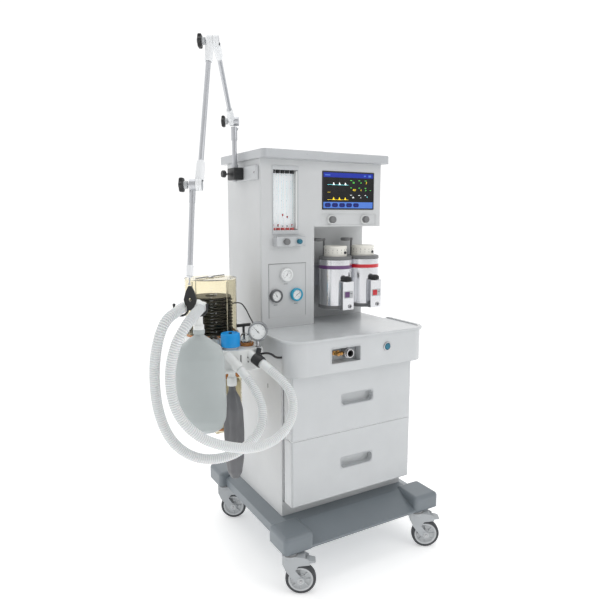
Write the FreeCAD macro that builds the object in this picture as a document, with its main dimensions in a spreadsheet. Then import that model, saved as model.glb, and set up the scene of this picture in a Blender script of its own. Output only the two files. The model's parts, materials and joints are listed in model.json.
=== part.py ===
import FreeCAD, Part
import Sketcher
import math
import os
import re

# Anesthesia machine on four casters, millimetres, +Z up.
# Working axes: X to the right along the front, Y towards the back, Z up, with X = 0 on the
# machine's middle plane, Y = 0 on the drawer fronts and Z = 0 on the floor.  Every finished
# piece is then shifted by side_shift and depth_shift, so that the origin lies on the floor
# under the middle of the whole machine.

DOC = FreeCAD.newDocument("anesthesia_machine")
SHEET = DOC.addObject("Spreadsheet::Sheet", "Dims")
DIMENSIONS = {
    # place of the origin
    "side_shift": 162, "depth_shift": -221,
    # base with four feet
    "base_front": -84, "base_back": 560, "base_half": 317, "base_top": 186, "base_floor": 138,
    "foot_top": 192, "foot_width": 106, "foot_depth": 116, "rail_half": 292, "foot_round": 14,
    # casters
    "wheel_radius": 49, "wheel_width": 28, "axle_radius": 4, "trail": 34, "stem_radius": 6,
    "caster_front": -64, "caster_back": 467, "caster_left": -289, "caster_right": 231,
    "running": 0.05, "gap": 0.4,
    # cabinet and drawers
    "cabinet_half": 251, "cabinet_front": 59, "cabinet_back": 470, "cabinet_top": 686, "sheet": 3,
    "drawer_half": 246, "drawer_skirt": 58.4, "drawer_low": 241, "drawer_split": 465.5,
    "tray_half": 220, "tray_depth": 355, "handle_width": 130, "handle_height": 38,
    # worktop
    "work_half": 272, "work_front": -42, "work_low": 686.2, "work_high": 795, "lip": 7, "lip_high": 803,
    "work_step": 172, "back_half": 250, "corner": 56,
    # column and top shelf
    "column_half": 250, "column_front": 203, "column_back": 474, "column_top": 1371, "wall": 4,
    "bay_left": -41, "bay_low": 803, "bay_high": 1146, "bay_back": 317,
    "shelf_half": 261, "shelf_front": 159, "shelf_back": 523, "shelf_thick": 29,
    # vaporizers
    "vapor_y": 232, "vapor_left": 68, "vapor_right": 191, "vapor_radius": 60.5, "vapor_low": 848,
    "vapor_high": 1038, "dial_radius": 43, "dial_high": 1076, "screw_y": 157,
    # absorber on the left side
    "block_low": 715, "block_high": 776, "block_right": -318, "dome_x": -418, "dome_y": 235,
    "dome_radius": 84, "dome_low": 800, "dome_high": 985, "bellows_top": 925,
    # jointed support arm: heading is the direction that the arm points in, seen from above
    "heading": 240, "post_x": -280, "post_y": 339, "shoulder_z": 1503, "head_radius": 15,
    "head_thick": 16, "pin_radius": 4, "tube_radius": 7, "sleeve_radius": 7.9,
    "elbow_reach": 341, "elbow_rise": 162, "wrist_reach": 516, "wrist_rise": -239,
    "holder_reach": 530, "holder_rise": -474, "holder_side": 63, "drop_side": 51,
    # breathing circuit
    "hose_radius": 14, "hook_radius": 18.5, "hook_wire": 3, "hook_spread": 25, "hook_z": 943,
}
for number, (alias, amount) in enumerate(DIMENSIONS.items(), start=1):
    SHEET.set(f"A{number}", alias)
    SHEET.set(f"B{number}", str(amount))
    SHEET.setAlias(f"B{number}", alias)
DOC.recompute()
NODES = []
Vector = FreeCAD.Vector


# ---------------------------------------------------------------- helpers


def cells(text):
    """The expression with each dimension's name pointing at its cell."""
    return re.sub(r"[a-z_]{2,}", lambda word: "Dims." + word.group(0), text)


def value(amount):
    """The number that a dimension or an expression of dimensions stands for."""
    if isinstance(amount, str):
        amount = SHEET.evalExpression(cells(amount))
    return float(amount)


def bind(thing, prop, amount):
    """Sets a property, and ties it to the sheet when it is an expression."""
    if isinstance(amount, str):
        thing.setExpression(prop, cells(amount))
    else:
        setattr(thing, prop, amount)


def place(thing, at, turn=None):
    """Puts an object at a point, turned by (axis, degrees)."""
    rotation = FreeCAD.Rotation(Vector(*turn[0]), turn[1]) if turn else FreeCAD.Rotation()
    thing.Placement = FreeCAD.Placement(Vector(*(value(a) for a in at)), rotation)
    for axis, amount in zip("xyz", at):
        if isinstance(amount, str):
            thing.setExpression(f"Placement.Base.{axis}", cells(amount))
    return thing


def box(name, low, high):
    """A box between two corners, given as numbers or expressions."""
    block = DOC.addObject("Part::Box", name)
    for side, a, b in zip(("Length", "Width", "Height"), low, high):
        bind(block, side, f"({b}) - ({a})")
    return place(block, low)


TURNS = {"z": None, "x": ((0, 1, 0), 90), "y": ((1, 0, 0), -90), "-y": ((1, 0, 0), 90), "-x": ((0, 1, 0), -90)}


def cylinder(name, radius, height, at, axis="z"):
    """A cylinder whose base centre is at a point, along an axis."""
    rod = DOC.addObject("Part::Cylinder", name)
    bind(rod, "Radius", radius)
    bind(rod, "Height", height)
    return place(rod, at, TURNS[axis])


def rod_between(name, radius, start, end):
    """A round rod from one point to another."""
    rod = DOC.addObject("Part::Cylinder", name)
    bind(rod, "Radius", radius)
    rod.Height = (end - start).Length
    rod.Placement = FreeCAD.Placement(start, FreeCAD.Rotation(Vector(0, 0, 1), end - start))
    return rod


def ball_at(name, radius, point):
    """A ball round a point."""
    ball = DOC.addObject("Part::Sphere", name)
    bind(ball, "Radius", radius)
    ball.Placement = FreeCAD.Placement(point, FreeCAD.Rotation())
    return ball


def cut(name, base, *tools):
    """The base less the tools."""
    tool = tools[0]
    if len(tools) > 1:
        tool = DOC.addObject("Part::MultiFuse", name + "_tools")
        tool.Shapes = list(tools)
    result = DOC.addObject("Part::Cut", name)
    result.Base = base
    result.Tool = tool
    return result


def fuse(name, *parts):
    """One solid from several that touch."""
    result = DOC.addObject("Part::MultiFuse", name)
    result.Shapes = list(parts)
    result.Refine = True
    return result


def common(name, *parts):
    """What several solids share."""
    result = DOC.addObject("Part::MultiCommon", name)
    result.Shapes = list(parts)
    return result


def along(axis):
    """Picks the straight edges that run along an axis."""
    def pick(edge):
        if edge.Curve.TypeId != "Part::GeomLine":
            return False
        return abs(getattr(edge.tangentAt(edge.FirstParameter), axis)) > 0.99
    return pick


def level(height):
    """Picks the edges that lie flat at a height."""
    def pick(edge):
        return abs(edge.BoundBox.ZMin - height) < 0.01 and abs(edge.BoundBox.ZMax - height) < 0.01
    return pick


def rounded(name, base, radius, *picks):
    """The base with the picked edges rounded."""
    DOC.recompute()
    result = DOC.addObject("Part::Fillet", name)
    result.Base = base
    amount = value(radius)
    chosen = [i for i, edge in enumerate(base.Shape.Edges, start=1) if any(pick(edge) for pick in picks)]
    result.Edges = [(i, amount, amount) for i in chosen]
    return result


def sketch_on(body, plane, outline):
    """A closed outline of straight lines, each corner tied to the sheet."""
    sketch = body.newObject("Sketcher::SketchObject", body.Name + "_sketch")
    origin = [f for f in body.Origin.OriginFeatures if f.Role == plane][0]
    sketch.AttachmentSupport = [(origin, "")]
    sketch.MapMode = "FlatFace"
    points = [Vector(value(a), value(b), 0) for a, b in outline]
    for start, end in zip(points, points[1:] + points[:1]):
        sketch.addGeometry(Part.LineSegment(start, end))
    total = len(points)
    for i in range(total):
        sketch.addConstraint(Sketcher.Constraint("Coincident", i, 2, (i + 1) % total, 1))
    for i, corner in enumerate(outline):
        for kind, amount in zip(("DistanceX", "DistanceY"), corner):
            if abs(value(amount)) < 1e-6:
                held = -2 if kind == "DistanceX" else -1
                sketch.addConstraint(Sketcher.Constraint("PointOnObject", i, 1, held))
                continue
            number = sketch.addConstraint(Sketcher.Constraint(kind, -1, 1, i, 1, value(amount)))
            if isinstance(amount, str):
                sketch.setExpression(f"Constraints[{number}]", cells(amount))
    return sketch


def revolved(name, outline, at=(0, 0, 0), axis="z", turn=None):
    """A turned piece: the outline's (radius, height) corners go round the axis."""
    body = DOC.addObject("PartDesign::Body", name)
    sketch = sketch_on(body, "XZ_Plane", outline)
    spin = body.newObject("PartDesign::Revolution", name + "_spin")
    spin.Profile = sketch
    spin.ReferenceAxis = (sketch, ["V_Axis"])
    spin.Angle = 360
    place(body, at, turn or TURNS[axis])
    return body


def padded(name, outline, thickness, at=(0, 0, 0), turn=None, plane="XY_Plane", midplane=False):
    """A plate: the outline's corners, made as thick as said."""
    body = DOC.addObject("PartDesign::Body", name)
    sketch = sketch_on(body, plane, outline)
    pad = body.newObject("PartDesign::Pad", name + "_pad")
    pad.Profile = sketch
    bind(pad, "Length", thickness)
    if midplane:
        pad.SideType = "Symmetric"
    place(body, at, turn)
    return body


def node(label, *pieces, at=(0, 0, 0), turn=0):
    """A finished piece of the machine, in the machine's frame."""
    piece = DOC.addObject("Part::Compound", label + "_node")
    piece.Links = list(pieces)
    piece.Label = label
    where = (f"side_shift + ({at[0]})", f"depth_shift + ({at[1]})", f"0 + ({at[2]})")
    place(piece, where, ((0, 0, 1), turn))
    NODES.append(piece)
    return piece


# ---------------------------------------------------------------- base and casters


CASTERS = {
    "front_left": ("caster_left", "caster_front"),
    "front_right": ("caster_right", "caster_front"),
    "back_left": ("caster_left", "caster_back"),
    "back_right": ("caster_right", "caster_back"),
}
TREAD_LANDS = 32
CASTER_TURN = -30


def base_chassis():
    """Moulded base: a deck with a sloping front, sloping side rails and four feet."""
    side = [
        ("base_front + 3", "base_floor"), ("base_front + 3", "base_floor + 8"), (12, "base_top"),
        ("base_back - 50", "base_top"), ("base_back - 12", "base_floor + 14"), ("base_back - 12", "base_floor"),
    ]
    length = padded("deck_length", side, "2 * rail_half", (0, 0, 0), ((1, 1, 1), 120), "XY_Plane", True)
    front = [
        ("-rail_half", 0), ("rail_half", 0), ("rail_half", 32), ("cabinet_half + 1", 48),
        ("-cabinet_half - 1", 48), ("-rail_half", 32),
    ]
    width = padded("deck_width", front, 700, ("0", "base_back - 12", "base_floor"), ((1, 0, 0), 90))
    parts = [common("deck", length, width)]
    for x in ("-base_half", "base_half - foot_width"):
        for y in ("base_front", "base_back - foot_depth"):
            low = (x, y, "base_floor")
            high = (f"{x} + foot_width", f"{y} + foot_depth", "foot_top")
            block = box("foot_block", low, high)
            parts.append(rounded("foot", block, "foot_round", along("z"), level(value("foot_top"))))
    body = fuse("base_body", *parts)
    holes = []
    for x, y in CASTERS.values():
        holes.append(cylinder("stem_hole", "stem_radius + running", 31, (x, y, "base_floor - 1")))
    holes.append(box("cabinet_room", ("-cabinet_half - gap", "cabinet_front - gap", "base_top"),
                     ("cabinet_half + gap", "cabinet_back + gap", "foot_top + 1")))
    node("base_chassis", cut("base_with_holes", body, *holes))


def caster(name, x, y):
    """One caster, built with its swivel on the Z axis and its wheel towards +X."""
    leg = [
        (-24, 137), (44, 128), (60, 120), (62, 103), (50, 102), (26, 99), (17, 84), (30, 66), (47, 57),
        (48, 41), (34, 35), (20, 41), (4, 60), (-14, 84), (-23, 106),
    ]
    sides = []
    for start in (-20.5, 15.6):
        sides.append(padded("fork_side", leg, 4.9, (0, f"{start} + 4.9", 0), ((1, 0, 0), 90)))
    bridge = padded("fork_bridge", [(-24, 104), (49, 104), (49, 126), (44, 128), (-24, 137)], 40,
                    (0, 20, 0), ((1, 0, 0), 90))
    wheel_room = cylinder("wheel_room", "wheel_radius + 3.5", 31, ("trail", -15.5, "wheel_radius"), "y")
    hood = cut("fork_hood", bridge, wheel_room)
    race = cylinder("fork_race", 24, "base_floor - gap - 122", (0, 0, 122))
    stem = cylinder("fork_stem", "stem_radius", "base_floor + 28 - 125", (0, 0, 125))
    axle = cylinder("fork_axle", "axle_radius", 41, ("trail", -20.5, "wheel_radius"), "y")
    pedal_pin = cylinder("pedal_pin", 2, 41, (56, -20.5, 111), "y")
    fork = fuse("fork", *sides, hood, race, stem, axle, pedal_pin)
    node("caster_fork_" + name, fork, at=(x, y, 0), turn=CASTER_TURN)

    rim = [
        ("axle_radius + running", -14), (13, -14), (15, -9), (31, -7), (35, -12), (40, -12),
        (40, 12), (35, 12), (31, 7), (15, 9), (13, 14), ("axle_radius + running", 14),
    ]
    round_over = "wheel_radius + 0.3"
    tread = [(40, -12), (45, -13), (round_over, -8), (round_over, 8), (45, 13), (40, 12)]
    hub = revolved("wheel_rim", rim, ("trail", 0, "wheel_radius"), "y")
    tyre_round = revolved("tyre_round", tread, ("trail", 0, "wheel_radius"), "y")
    # The tread has narrow flat lands, so the wheel stands still on a level floor.
    lands = []
    reach = value("wheel_radius") / math.cos(math.pi / TREAD_LANDS)
    for i in range(TREAD_LANDS):
        angle = math.radians(-90) + math.tau * (i + 0.5) / TREAD_LANDS
        lands.append((value("trail") + reach * math.cos(angle), value("wheel_radius") + reach * math.sin(angle)))
    prism = padded("tread_lands", lands, 30, (0, 15, 0), ((1, 0, 0), 90))
    tyre = common("wheel_tyre", tyre_round, prism)
    node("caster_wheel_" + name, hub, tyre, at=(x, y, 0), turn=CASTER_TURN)

    if name.startswith("front"):
        step = [(52, 107), (60, 106), (80, 108), (81, 112), (62, 116), (52, 115)]
        plate = padded("pedal_plate", step, 30, (0, 15, 0), ((1, 0, 0), 90))
        bore = cylinder("pedal_bore", 2.05, 40, (56, -20, 111), "y")
        node("brake_pedal_" + name, cut("pedal", plate, bore), at=(x, y, 0), turn=CASTER_TURN)


# ---------------------------------------------------------------- cabinet, drawers and worktop


def cabinet_shell():
    """Sheet steel carcass, open at the front for the drawers and underneath over the base."""
    outer = box("carcass", ("-cabinet_half", "cabinet_front", "base_top"),
                ("cabinet_half", "cabinet_back", "cabinet_top"))
    bay = box("drawer_bay", ("-cabinet_half + sheet", "cabinet_front - 1", "drawer_low - 4"),
              ("cabinet_half - sheet", "cabinet_back - sheet", "cabinet_top - sheet"))
    plinth = box("plinth_room", ("-cabinet_half + sheet", "cabinet_front + sheet", "base_top - 1"),
                 ("cabinet_half - sheet", "cabinet_back - sheet", "drawer_low - 4 - sheet"))
    slot = box("side_slot", ("-cabinet_half - 1", 155, 606), ("-cabinet_half + sheet + 1", 159, 622))
    node("cabinet_shell", cut("cabinet", outer, bay, plinth, slot), *drawer_runners())


def drawer(name, low, high):
    """A drawer: deep moulded front with a recessed handle, and a tray behind it."""
    block = box("front_block", ("-drawer_half", 0, low), ("drawer_half", "drawer_skirt", high))
    front = rounded("front_outer", block, 10, along("z"))
    hollow = box("front_hollow", ("-drawer_half + sheet", "sheet", f"{low} + sheet"),
                 ("drawer_half - sheet", "drawer_skirt - sheet", f"{high} - sheet"))
    middle = f"({low} + {high}) / 2"
    pan = box("handle_pan", ("10 - handle_width / 2 - sheet", 1, f"{middle} - handle_height / 2 - sheet"),
              ("10 + handle_width / 2 + sheet", 26, f"{middle} + handle_height / 2 + sheet"))
    grip = box("handle_hole", ("10 - handle_width / 2", -1, f"{middle} - handle_height / 2"),
               ("10 + handle_width / 2", 23, f"{middle} + handle_height / 2"))
    grip_round = rounded("handle_round", grip, 17, along("y"))
    tray_back = "drawer_skirt + tray_depth"
    tray = box("tray_block", ("-tray_half", "drawer_skirt - sheet", f"{low} + 12"),
               ("tray_half", tray_back, f"{high} - 30"))
    inside = box("tray_room", ("-tray_half + 2", "drawer_skirt", f"{low} + 14"),
                 ("tray_half - 2", f"{tray_back} - 2", f"{high} - 20"))
    shell = cut("front_shell", front, hollow)
    whole = fuse("drawer_whole", shell, pan, cut("tray", tray, inside))
    node("drawer_" + name, cut("drawer_solid", whole, grip_round))


def drawer_runners():
    """Four rails that carry the trays, riveted to the cabinet's sides."""
    rails = []
    for height in (300, 530):
        for low, high in (("-cabinet_half + sheet", "-tray_half - 1.2"), ("tray_half + 1.2", "cabinet_half - sheet")):
            rails.append(box("rail", (low, "cabinet_front + 12", height), (high, "cabinet_back - 30", f"{height} + 22")))
    return rails


def worktop():
    """Moulded worktop: a deep front block, a lip round its top and a sunken surface."""
    block = box("work_block", ("-work_half", "work_front", "work_low"), ("work_half", "work_step", "work_high"))
    front_edges = front_corner(value("work_front"))
    front = rounded("work_rounded", block, "corner", front_edges)
    rear = box("work_rear", ("-back_half", "work_step - 1", "work_low"), ("back_half", "column_back", "work_high"))
    plate = box("lip_block", ("-work_half - lip", "work_front - lip", "work_high"),
                ("work_half + lip", "work_step", "lip_high"))
    lip = rounded("lip_rounded", plate, "corner + lip", front_corner(value("work_front - lip")))
    lip_soft = rounded("lip_soft", lip, 3, level(value("lip_high")))
    lip_rear = box("lip_rear", ("-back_half", "work_step - 1", "work_high"), ("back_half", "column_back", "lip_high - 3"))
    sink = box("sunken", ("-work_half + 8", "work_front + 8", "lip_high - 3"), ("work_half - 8", "work_step + 1", "lip_high + 1"))
    sunk = rounded("sunken_round", sink, "corner - 8", front_corner(value("work_front + 8")))
    whole = fuse("work_whole", front, rear, lip_soft, lip_rear)
    window = box("outlet_window", (-124, "work_front - 1", 717), (-11, "work_front + 30", 767))
    button_hole = cylinder("button_hole", 11, 26, (98, "work_front - 1", 751), "y")
    hollow = box("work_hollow", ("-back_half + 8", "work_front + 40", "work_low - 1"),
                 ("back_half - 8", "column_back - 8", "work_high - 6"))
    node("worktop", cut("work_solid", whole, sunk, window, button_hole, hollow))


def front_corner(front):
    """Picks the upright edges of the two front corners."""
    upright = along("z")

    def pick(edge):
        return upright(edge) and edge.CenterOfMass.y < front + 1
    return pick


def outlet_fittings():
    """Brass hose tail and fresh gas outlet in the worktop's window, and the flush button's ring."""
    tail = [(0, 0), (7, 0), (7, 6), (5, 7), (7, 11), (5, 12), (7, 16), (5, 17), (6.5, 24), (0, 24)]
    brass = revolved("hose_tail", tail, (-92, "work_front + 29.8", 746), "-y")
    hexagon = [(13 * math.cos(math.radians(a)), 13 * math.sin(math.radians(a))) for a in range(0, 360, 60)]
    nut = padded("hose_tail_nut", hexagon, 5, (-92, "work_front + 30", 746), ((1, 0, 0), 90))
    collar = [(11, 0), (17, 0), (17, 26), (14.5, 27), (14.5, 38), (11, 38)]
    outlet = revolved("gas_outlet", collar, (-56, "work_front + 30", 746), "-y")
    floor_plate = cylinder("gas_outlet_floor", 11, 4, (-56, "work_front + 30", 746), "-y")
    ring = revolved("button_ring", [(11.2, 0), (15, 0), (15, 2), (13.5, 3.5), (11.2, 3.5)],
                    (98, "work_front", 751), "-y")
    node("outlet_fittings", fuse("brass_tail", brass, nut), fuse("outlet", outlet, floor_plate), ring)


def flush_button():
    """Push button for the oxygen flush, in its hole in the worktop's front."""
    cap = revolved("button_cap", [(0, 0), (10.9, 0), (10.9, 22), (9, 24.5), (0, 25.5)],
                   (98, "work_front + 20", 751), "-y")
    node("flush_button", cap)


# ---------------------------------------------------------------- column


DISPLAY_KNOBS = {"left": (29, 1171), "right": (174, 1171)}
GAUGES = {"supply": (-154, 983), "air": (-194, 912), "oxygen": (-114, 912)}


def column_shell():
    """Upright housing: gas tower on the left, display box on top, open bay for the vaporizers."""
    outer = box("column_block", ("-column_half", "column_front", "lip_high - 2.9"),
                ("column_half", "column_back", "column_top"))
    soft = rounded("column_soft", outer, 6, front_corner(value("column_front")))
    bay = box("bay", ("bay_left", "column_front - 1", "bay_low - 5"), ("column_half + 1", "bay_back", "bay_high"))
    tower = box("tower_room", ("-column_half + wall", "column_front + wall", "lip_high - 4"),
                ("bay_left - wall", "column_back + 1", "column_top - wall"))
    head = box("head_room", ("bay_left - wall - 1", "column_front + wall", "bay_high + wall"),
               ("column_half - wall", "column_back + 1", "column_top - wall"))
    behind = box("behind_room", ("bay_left - wall - 1", "bay_back + wall", "lip_high - 4"),
                 ("column_half - wall", "column_back + 1", "bay_high + wall + 1"))
    flow_hole = box("flow_hole", (-206, "column_front - 1", 1121), (-104, "column_front + wall + 1", 1351))
    screen_hole = box("screen_hole", (-9, "column_front - 1", 1206), (216, "column_front + wall + 1", 1340))
    gauge_pocket = box("gauge_pocket", (-221, "column_front - 1", 836), (-75, "column_front + 2", 1022))
    knob_pocket = box("knob_pocket", (-14, "column_front - 1", 1152), (226, "column_front + 1.5", 1191))
    holes = [bay, tower, head, behind, flow_hole, screen_hole, gauge_pocket, knob_pocket]
    for x, z in DISPLAY_KNOBS.values():
        holes.append(cylinder("knob_hole", 3.05, 10, (x, "column_front - 1", z), "y"))
    node("column_shell", cut("column", soft, *holes))


def top_shelf():
    """Moulded shelf on top, its front edge stepped back a little on the right."""
    outline = [
        ("-shelf_half", "shelf_front"), (-34, "shelf_front"), (-14, "shelf_front + 7"),
        ("shelf_half", "shelf_front + 7"), ("shelf_half", "shelf_back"), ("-shelf_half", "shelf_back"),
    ]
    plate = padded("shelf_plate", outline, "shelf_thick", (0, 0, "column_top"))
    soft = rounded("shelf_corners", plate, 16, outer_corner)
    top = value("column_top + shelf_thick")
    node("top_shelf", rounded("shelf_soft", soft, 4, level(top)))


def outer_corner(edge):
    """Picks the shelf's four upright corner edges."""
    return along("z")(edge) and abs(edge.CenterOfMass.x) > value("shelf_half") - 1


def rear_cover():
    """Back panel of the column with its screws, two gas inlets and the mains inlet."""
    plate = box("rear_plate", ("-column_half + 1", "column_back + 0.3", "lip_high + 2"),
                ("column_half - 1", "column_back + 3.3", "column_top - 4"))
    parts = [plate]
    for x in ("-column_half + 14", "column_half - 14"):
        for z in (830, 1080, 1340):
            parts.append(cylinder("cover_screw", 4, 3, (x, "column_back + 3", z), "y"))
    for x in (-120, -60):
        parts.append(cylinder("inlet_collar", 13, 8, (x, "column_back + 3", 900), "y"))
        parts.append(cylinder("inlet_stem", 8, 26, (x, "column_back + 3", 900), "y"))
    socket = box("mains_block", (80, "column_back + 3", 880), (132, "column_back + 13", 916))
    hole = box("mains_room", (86, "column_back + 5", 886), (126, "column_back + 14", 910))
    parts.append(cut("mains_inlet", socket, hole))
    node("rear_cover", fuse("rear_whole", *parts))


def display():
    """Monitor panel in the head of the column, and its two turn knobs."""
    panel = box("screen_panel", (-8.5, "column_front - 2", 1206.5), (215.5, "column_front + 16", 1339.5))
    glass = box("screen_glass_room", (-4.5, "column_front - 3", 1210.5), (211.5, "column_front - 1", 1335.5))
    node("display_screen", cut("screen", rounded("screen_soft", panel, 2, along("y")), glass))
    for side, (x, z) in DISPLAY_KNOBS.items():
        profile = [(0, -9), (3, -9), (3, 0), (16, 0), (16, 4), (13, 6), (12, 19), (10.5, 20.5), (0, 20.5)]
        knob = revolved("display_knob", profile, (x, "column_front + 1.1", z), "-y")
        node("display_knob_" + side, knob)


FLOW_TUBES = [-196, -178, -160, -142, -124]


def flowmeters():
    """Flowmeter block: white tray, five glass tubes with floats, and the control block below."""
    tray = box("flow_tray", (-205.7, "column_front - 1.5", 1121.3), (-104.3, "column_front + 30", 1350.7))
    room = box("flow_room", (-202, "column_front - 3", 1136), (-108, "column_front + 26", 1337))
    parts = [cut("flow_housing", tray, room)]
    floats = []
    tubes = []
    for x in FLOW_TUBES:
        parts.append(cylinder("tube_foot", 6.5, 5, (x, "column_front + 12", 1135.5)))
        parts.append(cylinder("tube_head", 6.5, 9, (x, "column_front + 12", 1328.3)))
        floats.append(cylinder("float", 2.6, 6, (x, "column_front + 12", 1146)))
        profile = [(3.2, 0), (5.4, 0), (5.4, 187.6), (3.2, 187.6)]
        tubes.append(revolved("flow_tube", profile, (x, "column_front + 12", 1140.6)))
    housing = fuse("flow_solid", *parts)
    node("flowmeter_tubes", *tubes)
    block = box("valve_block", (-203, "column_front - 28", 1081), (-92, "column_front - 0.1", 1115))
    knobs = {"air": (-168, 11), "oxygen": (-119, 9)}
    bores = [cylinder("valve_bore", 3.05, 14, (x, "column_front - 29", 1098), "y") for x, _ in knobs.values()]
    valve_body = cut("valve_body", rounded("valve_soft", block, 4, along("x"), along("y")), *bores)
    node("flowmeter_housing", housing, *floats, valve_body)
    for gas, (x, radius) in knobs.items():
        profile = [(0, -10), (3, -10), (3, 0), (radius, 0), (radius, 11), (radius - 2, 13), (0, 13)]
        node("flow_knob_" + gas, revolved("flow_knob", profile, (x, "column_front - 28.4", 1098), "-y"))


def gauge(name, radius, depth, at, axis="-y", turn=None):
    """A round pressure gauge: case with a raised rim round its sunken dial."""
    profile = [
        (0, 0), (radius - 2, 0), (radius, 2), (radius, depth), (radius - 1, depth + 1),
        (radius - 5, depth + 1), (radius - 6, depth - 3), (0, depth - 3),
    ]
    return revolved(name, profile, at, axis, turn)


def gauge_cases():
    """Three supply gauges in the column's sunken panel."""
    cases = [gauge("gauge_" + gas, 23, 13, (x, "column_front + 2", z)) for gas, (x, z) in GAUGES.items()]
    node("gauge_cases", *cases)


# ---------------------------------------------------------------- vaporizers


def vaporizer_manifold():
    """Back bar that both vaporizers hang on, fixed to the bay's back wall."""
    bar = box("back_bar", (8, "vapor_y + 54", 925), ("column_half - 2", "bay_back", 1005))
    node("vaporizer_manifold", rounded("back_bar_soft", bar, 5, along("x")))


def vaporizers():
    """Two vaporizers: flasks with filler blocks, dials, filler screws and locking levers."""
    bodies = []
    for side, x in (("left", "vapor_left"), ("right", "vapor_right")):
        profile = [
            (0, "vapor_low"), ("vapor_radius - 3", "vapor_low"), ("vapor_radius", "vapor_low + 4"),
            ("vapor_radius", "vapor_high - 12"), ("vapor_radius - 2", "vapor_high - 10"),
            ("vapor_radius - 2", "vapor_high - 3"), ("vapor_radius - 5", "vapor_high"),
            (0, "vapor_high"),
        ]
        flask = revolved("flask", profile, (x, "vapor_y", 0))
        flat = box("flask_flat", (f"{x} - 80", "vapor_y + 54", 800), (f"{x} + 80", "vapor_y + 90", 1080))
        dial_pin = cylinder("dial_pin", 6, 20, (x, "vapor_y", "vapor_high - 2"))
        lever_hole = cylinder("lever_hole", 4.05, 16, (f"{x} - 22", "vapor_y + 44", "vapor_high - 14"))
        bodies.append(cut("flask_" + side, fuse("flask_with_pin", flask, dial_pin), flat, lever_hole))

        block = box("filler_block", (f"{x} - 22", "vapor_y - 86", 850), (f"{x} + 26", "vapor_y - 40", 952))
        around = cylinder("flask_room", "vapor_radius + 0.1", 260, (x, "vapor_y", 820))
        drain = cylinder("drain_hole", 4, 12, (f"{x} + 8", "vapor_y - 87", 862), "y")
        screw_hole = cylinder("screw_hole", 4.05, 14, (f"{x} + 2", "screw_y", 939))
        soft = rounded("filler_soft", block, 3, along("z"), level(952))
        bodies.append(cut("filler_" + side, soft, around, drain, screw_hole))

        dial_low = "vapor_high + gap"
        cap = [
            (6.05, dial_low), ("dial_radius", dial_low), ("dial_radius", "dial_high - 3"),
            ("dial_radius - 3", "dial_high"), (0, "dial_high"), (0, "vapor_high + 18.4"), (6.05, "vapor_high + 18.4"),
        ]
        dial = revolved("dial_cap", cap, (x, "vapor_y", 0))
        node("vaporizer_dial_" + side, dial)

        screw = [(0, -12), (4, -12), (4, 0), (13, 0), (13, 12), (9, 17), (0, 18)]
        node("filler_screw_" + side, revolved("filler_screw", screw, (f"{x} + 2", "screw_y", 952.4)))

        shaft = cylinder("lever_shaft", 4, 74, (f"{x} - 22", "vapor_y + 44", "vapor_high - 10"))
        bar = box("lever_bar", (f"{x} - 50", "vapor_y + 40", 1094), (f"{x} - 18", "vapor_y + 48", 1102))
        grip = cylinder("lever_grip", 9, 10, (f"{x} - 50", "vapor_y + 44", 1093))
        node("lock_lever_" + side, fuse("lever_" + side, shaft, bar, grip))
    node("vaporizer_bodies", *bodies)


# ---------------------------------------------------------------- absorber and bellows


VALVES = [(-460, 112), (-350, 112)]
SELECTOR = (-340, 152)


def hose_port(name, route, length):
    """A hose tail on the block, in line with the hose's first run and just short of its end."""
    start, second = vectors(route[:2])
    ahead = (second - start).normalize()
    return rod_between(name, 13.5, start - ahead * length, start - ahead * value("gap"))


def absorber_block():
    """White block of the breathing system with its two hose ports, bag port and bracket."""
    outline = [
        ("block_right", 50), (-402, 50), (-470, 95), (-506, 150), (-506, 300), (-480, 325), ("block_right", 325),
    ]
    body = padded("block_plate", outline, "block_high - block_low", (0, 0, "block_low"))
    soft = rounded("block_soft", body, 8, along("z"))
    seat = cylinder("bellows_seat", "dome_radius + 5", "dome_low - gap - block_high + 1",
                    ("dome_x", "dome_y", "block_high - 1"))
    port_one = hose_port("port_one", HOSE_ONE, 62)
    port_two = hose_port("port_two", HOSE_TWO, 66)
    neck = cylinder("bag_port", 11, 44, (-418, 72, "block_low - 42"))
    throat = cylinder("canister_seat", 44, 24, (-405, 160, "block_low - 23"))
    cap_seat = cylinder("cap_seat", 20, 8, (-412, 92, "block_high - 1"))
    seats = [cylinder("valve_seat", 21, 5, (x, y, "block_high - 1")) for x, y in VALVES]
    mast = cylinder("gauge_mast", 5, 19.5, (-328, 69.5, "block_high - 1"))
    pin = cylinder("cap_pin", 5, 14, (-412, 92, "block_high + 5"))
    whole = fuse("absorber_whole", soft, seat, port_one, port_two, neck, throat, cap_seat, *seats, mast, pin)
    x, y = SELECTOR
    stem_hole = cylinder("selector_hole", 4.05, 20, (x, y, "block_high - 14"))
    bracket = box("bracket", ("block_right", 190, 728), ("-back_half - 0.1", 290, 764))
    node("absorber_block", cut("absorber_solid", whole, stem_hole), rounded("bracket_soft", bracket, 5, along("x")))


def valve_domes():
    """Clear domes over the two one-way valves."""
    domes = []
    for x, y in VALVES:
        profile = [(0, 0), (19, 0), (19, 24), (15, 32), (8, 36), (0, 36)]
        room = [(0, -1), (16.5, -1), (16.5, 23), (13, 29.5), (0, 32)]
        at = (x, y, "block_high + 4.1")
        domes.append(cut("valve_dome", revolved("dome_outer", profile, at), revolved("dome_room", room, at)))
    node("valve_domes", *domes)


def relief_cap():
    """Blue adjustable cap of the pressure relief valve."""
    profile = [(0, 19), (5.05, 19), (5.05, 0), (29, 0), (30, 2), (30, 40), (27, 43), (0, 43)]
    node("relief_cap", revolved("relief_cap_body", profile, (-412, 92, "block_high + 7.4")))


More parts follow.
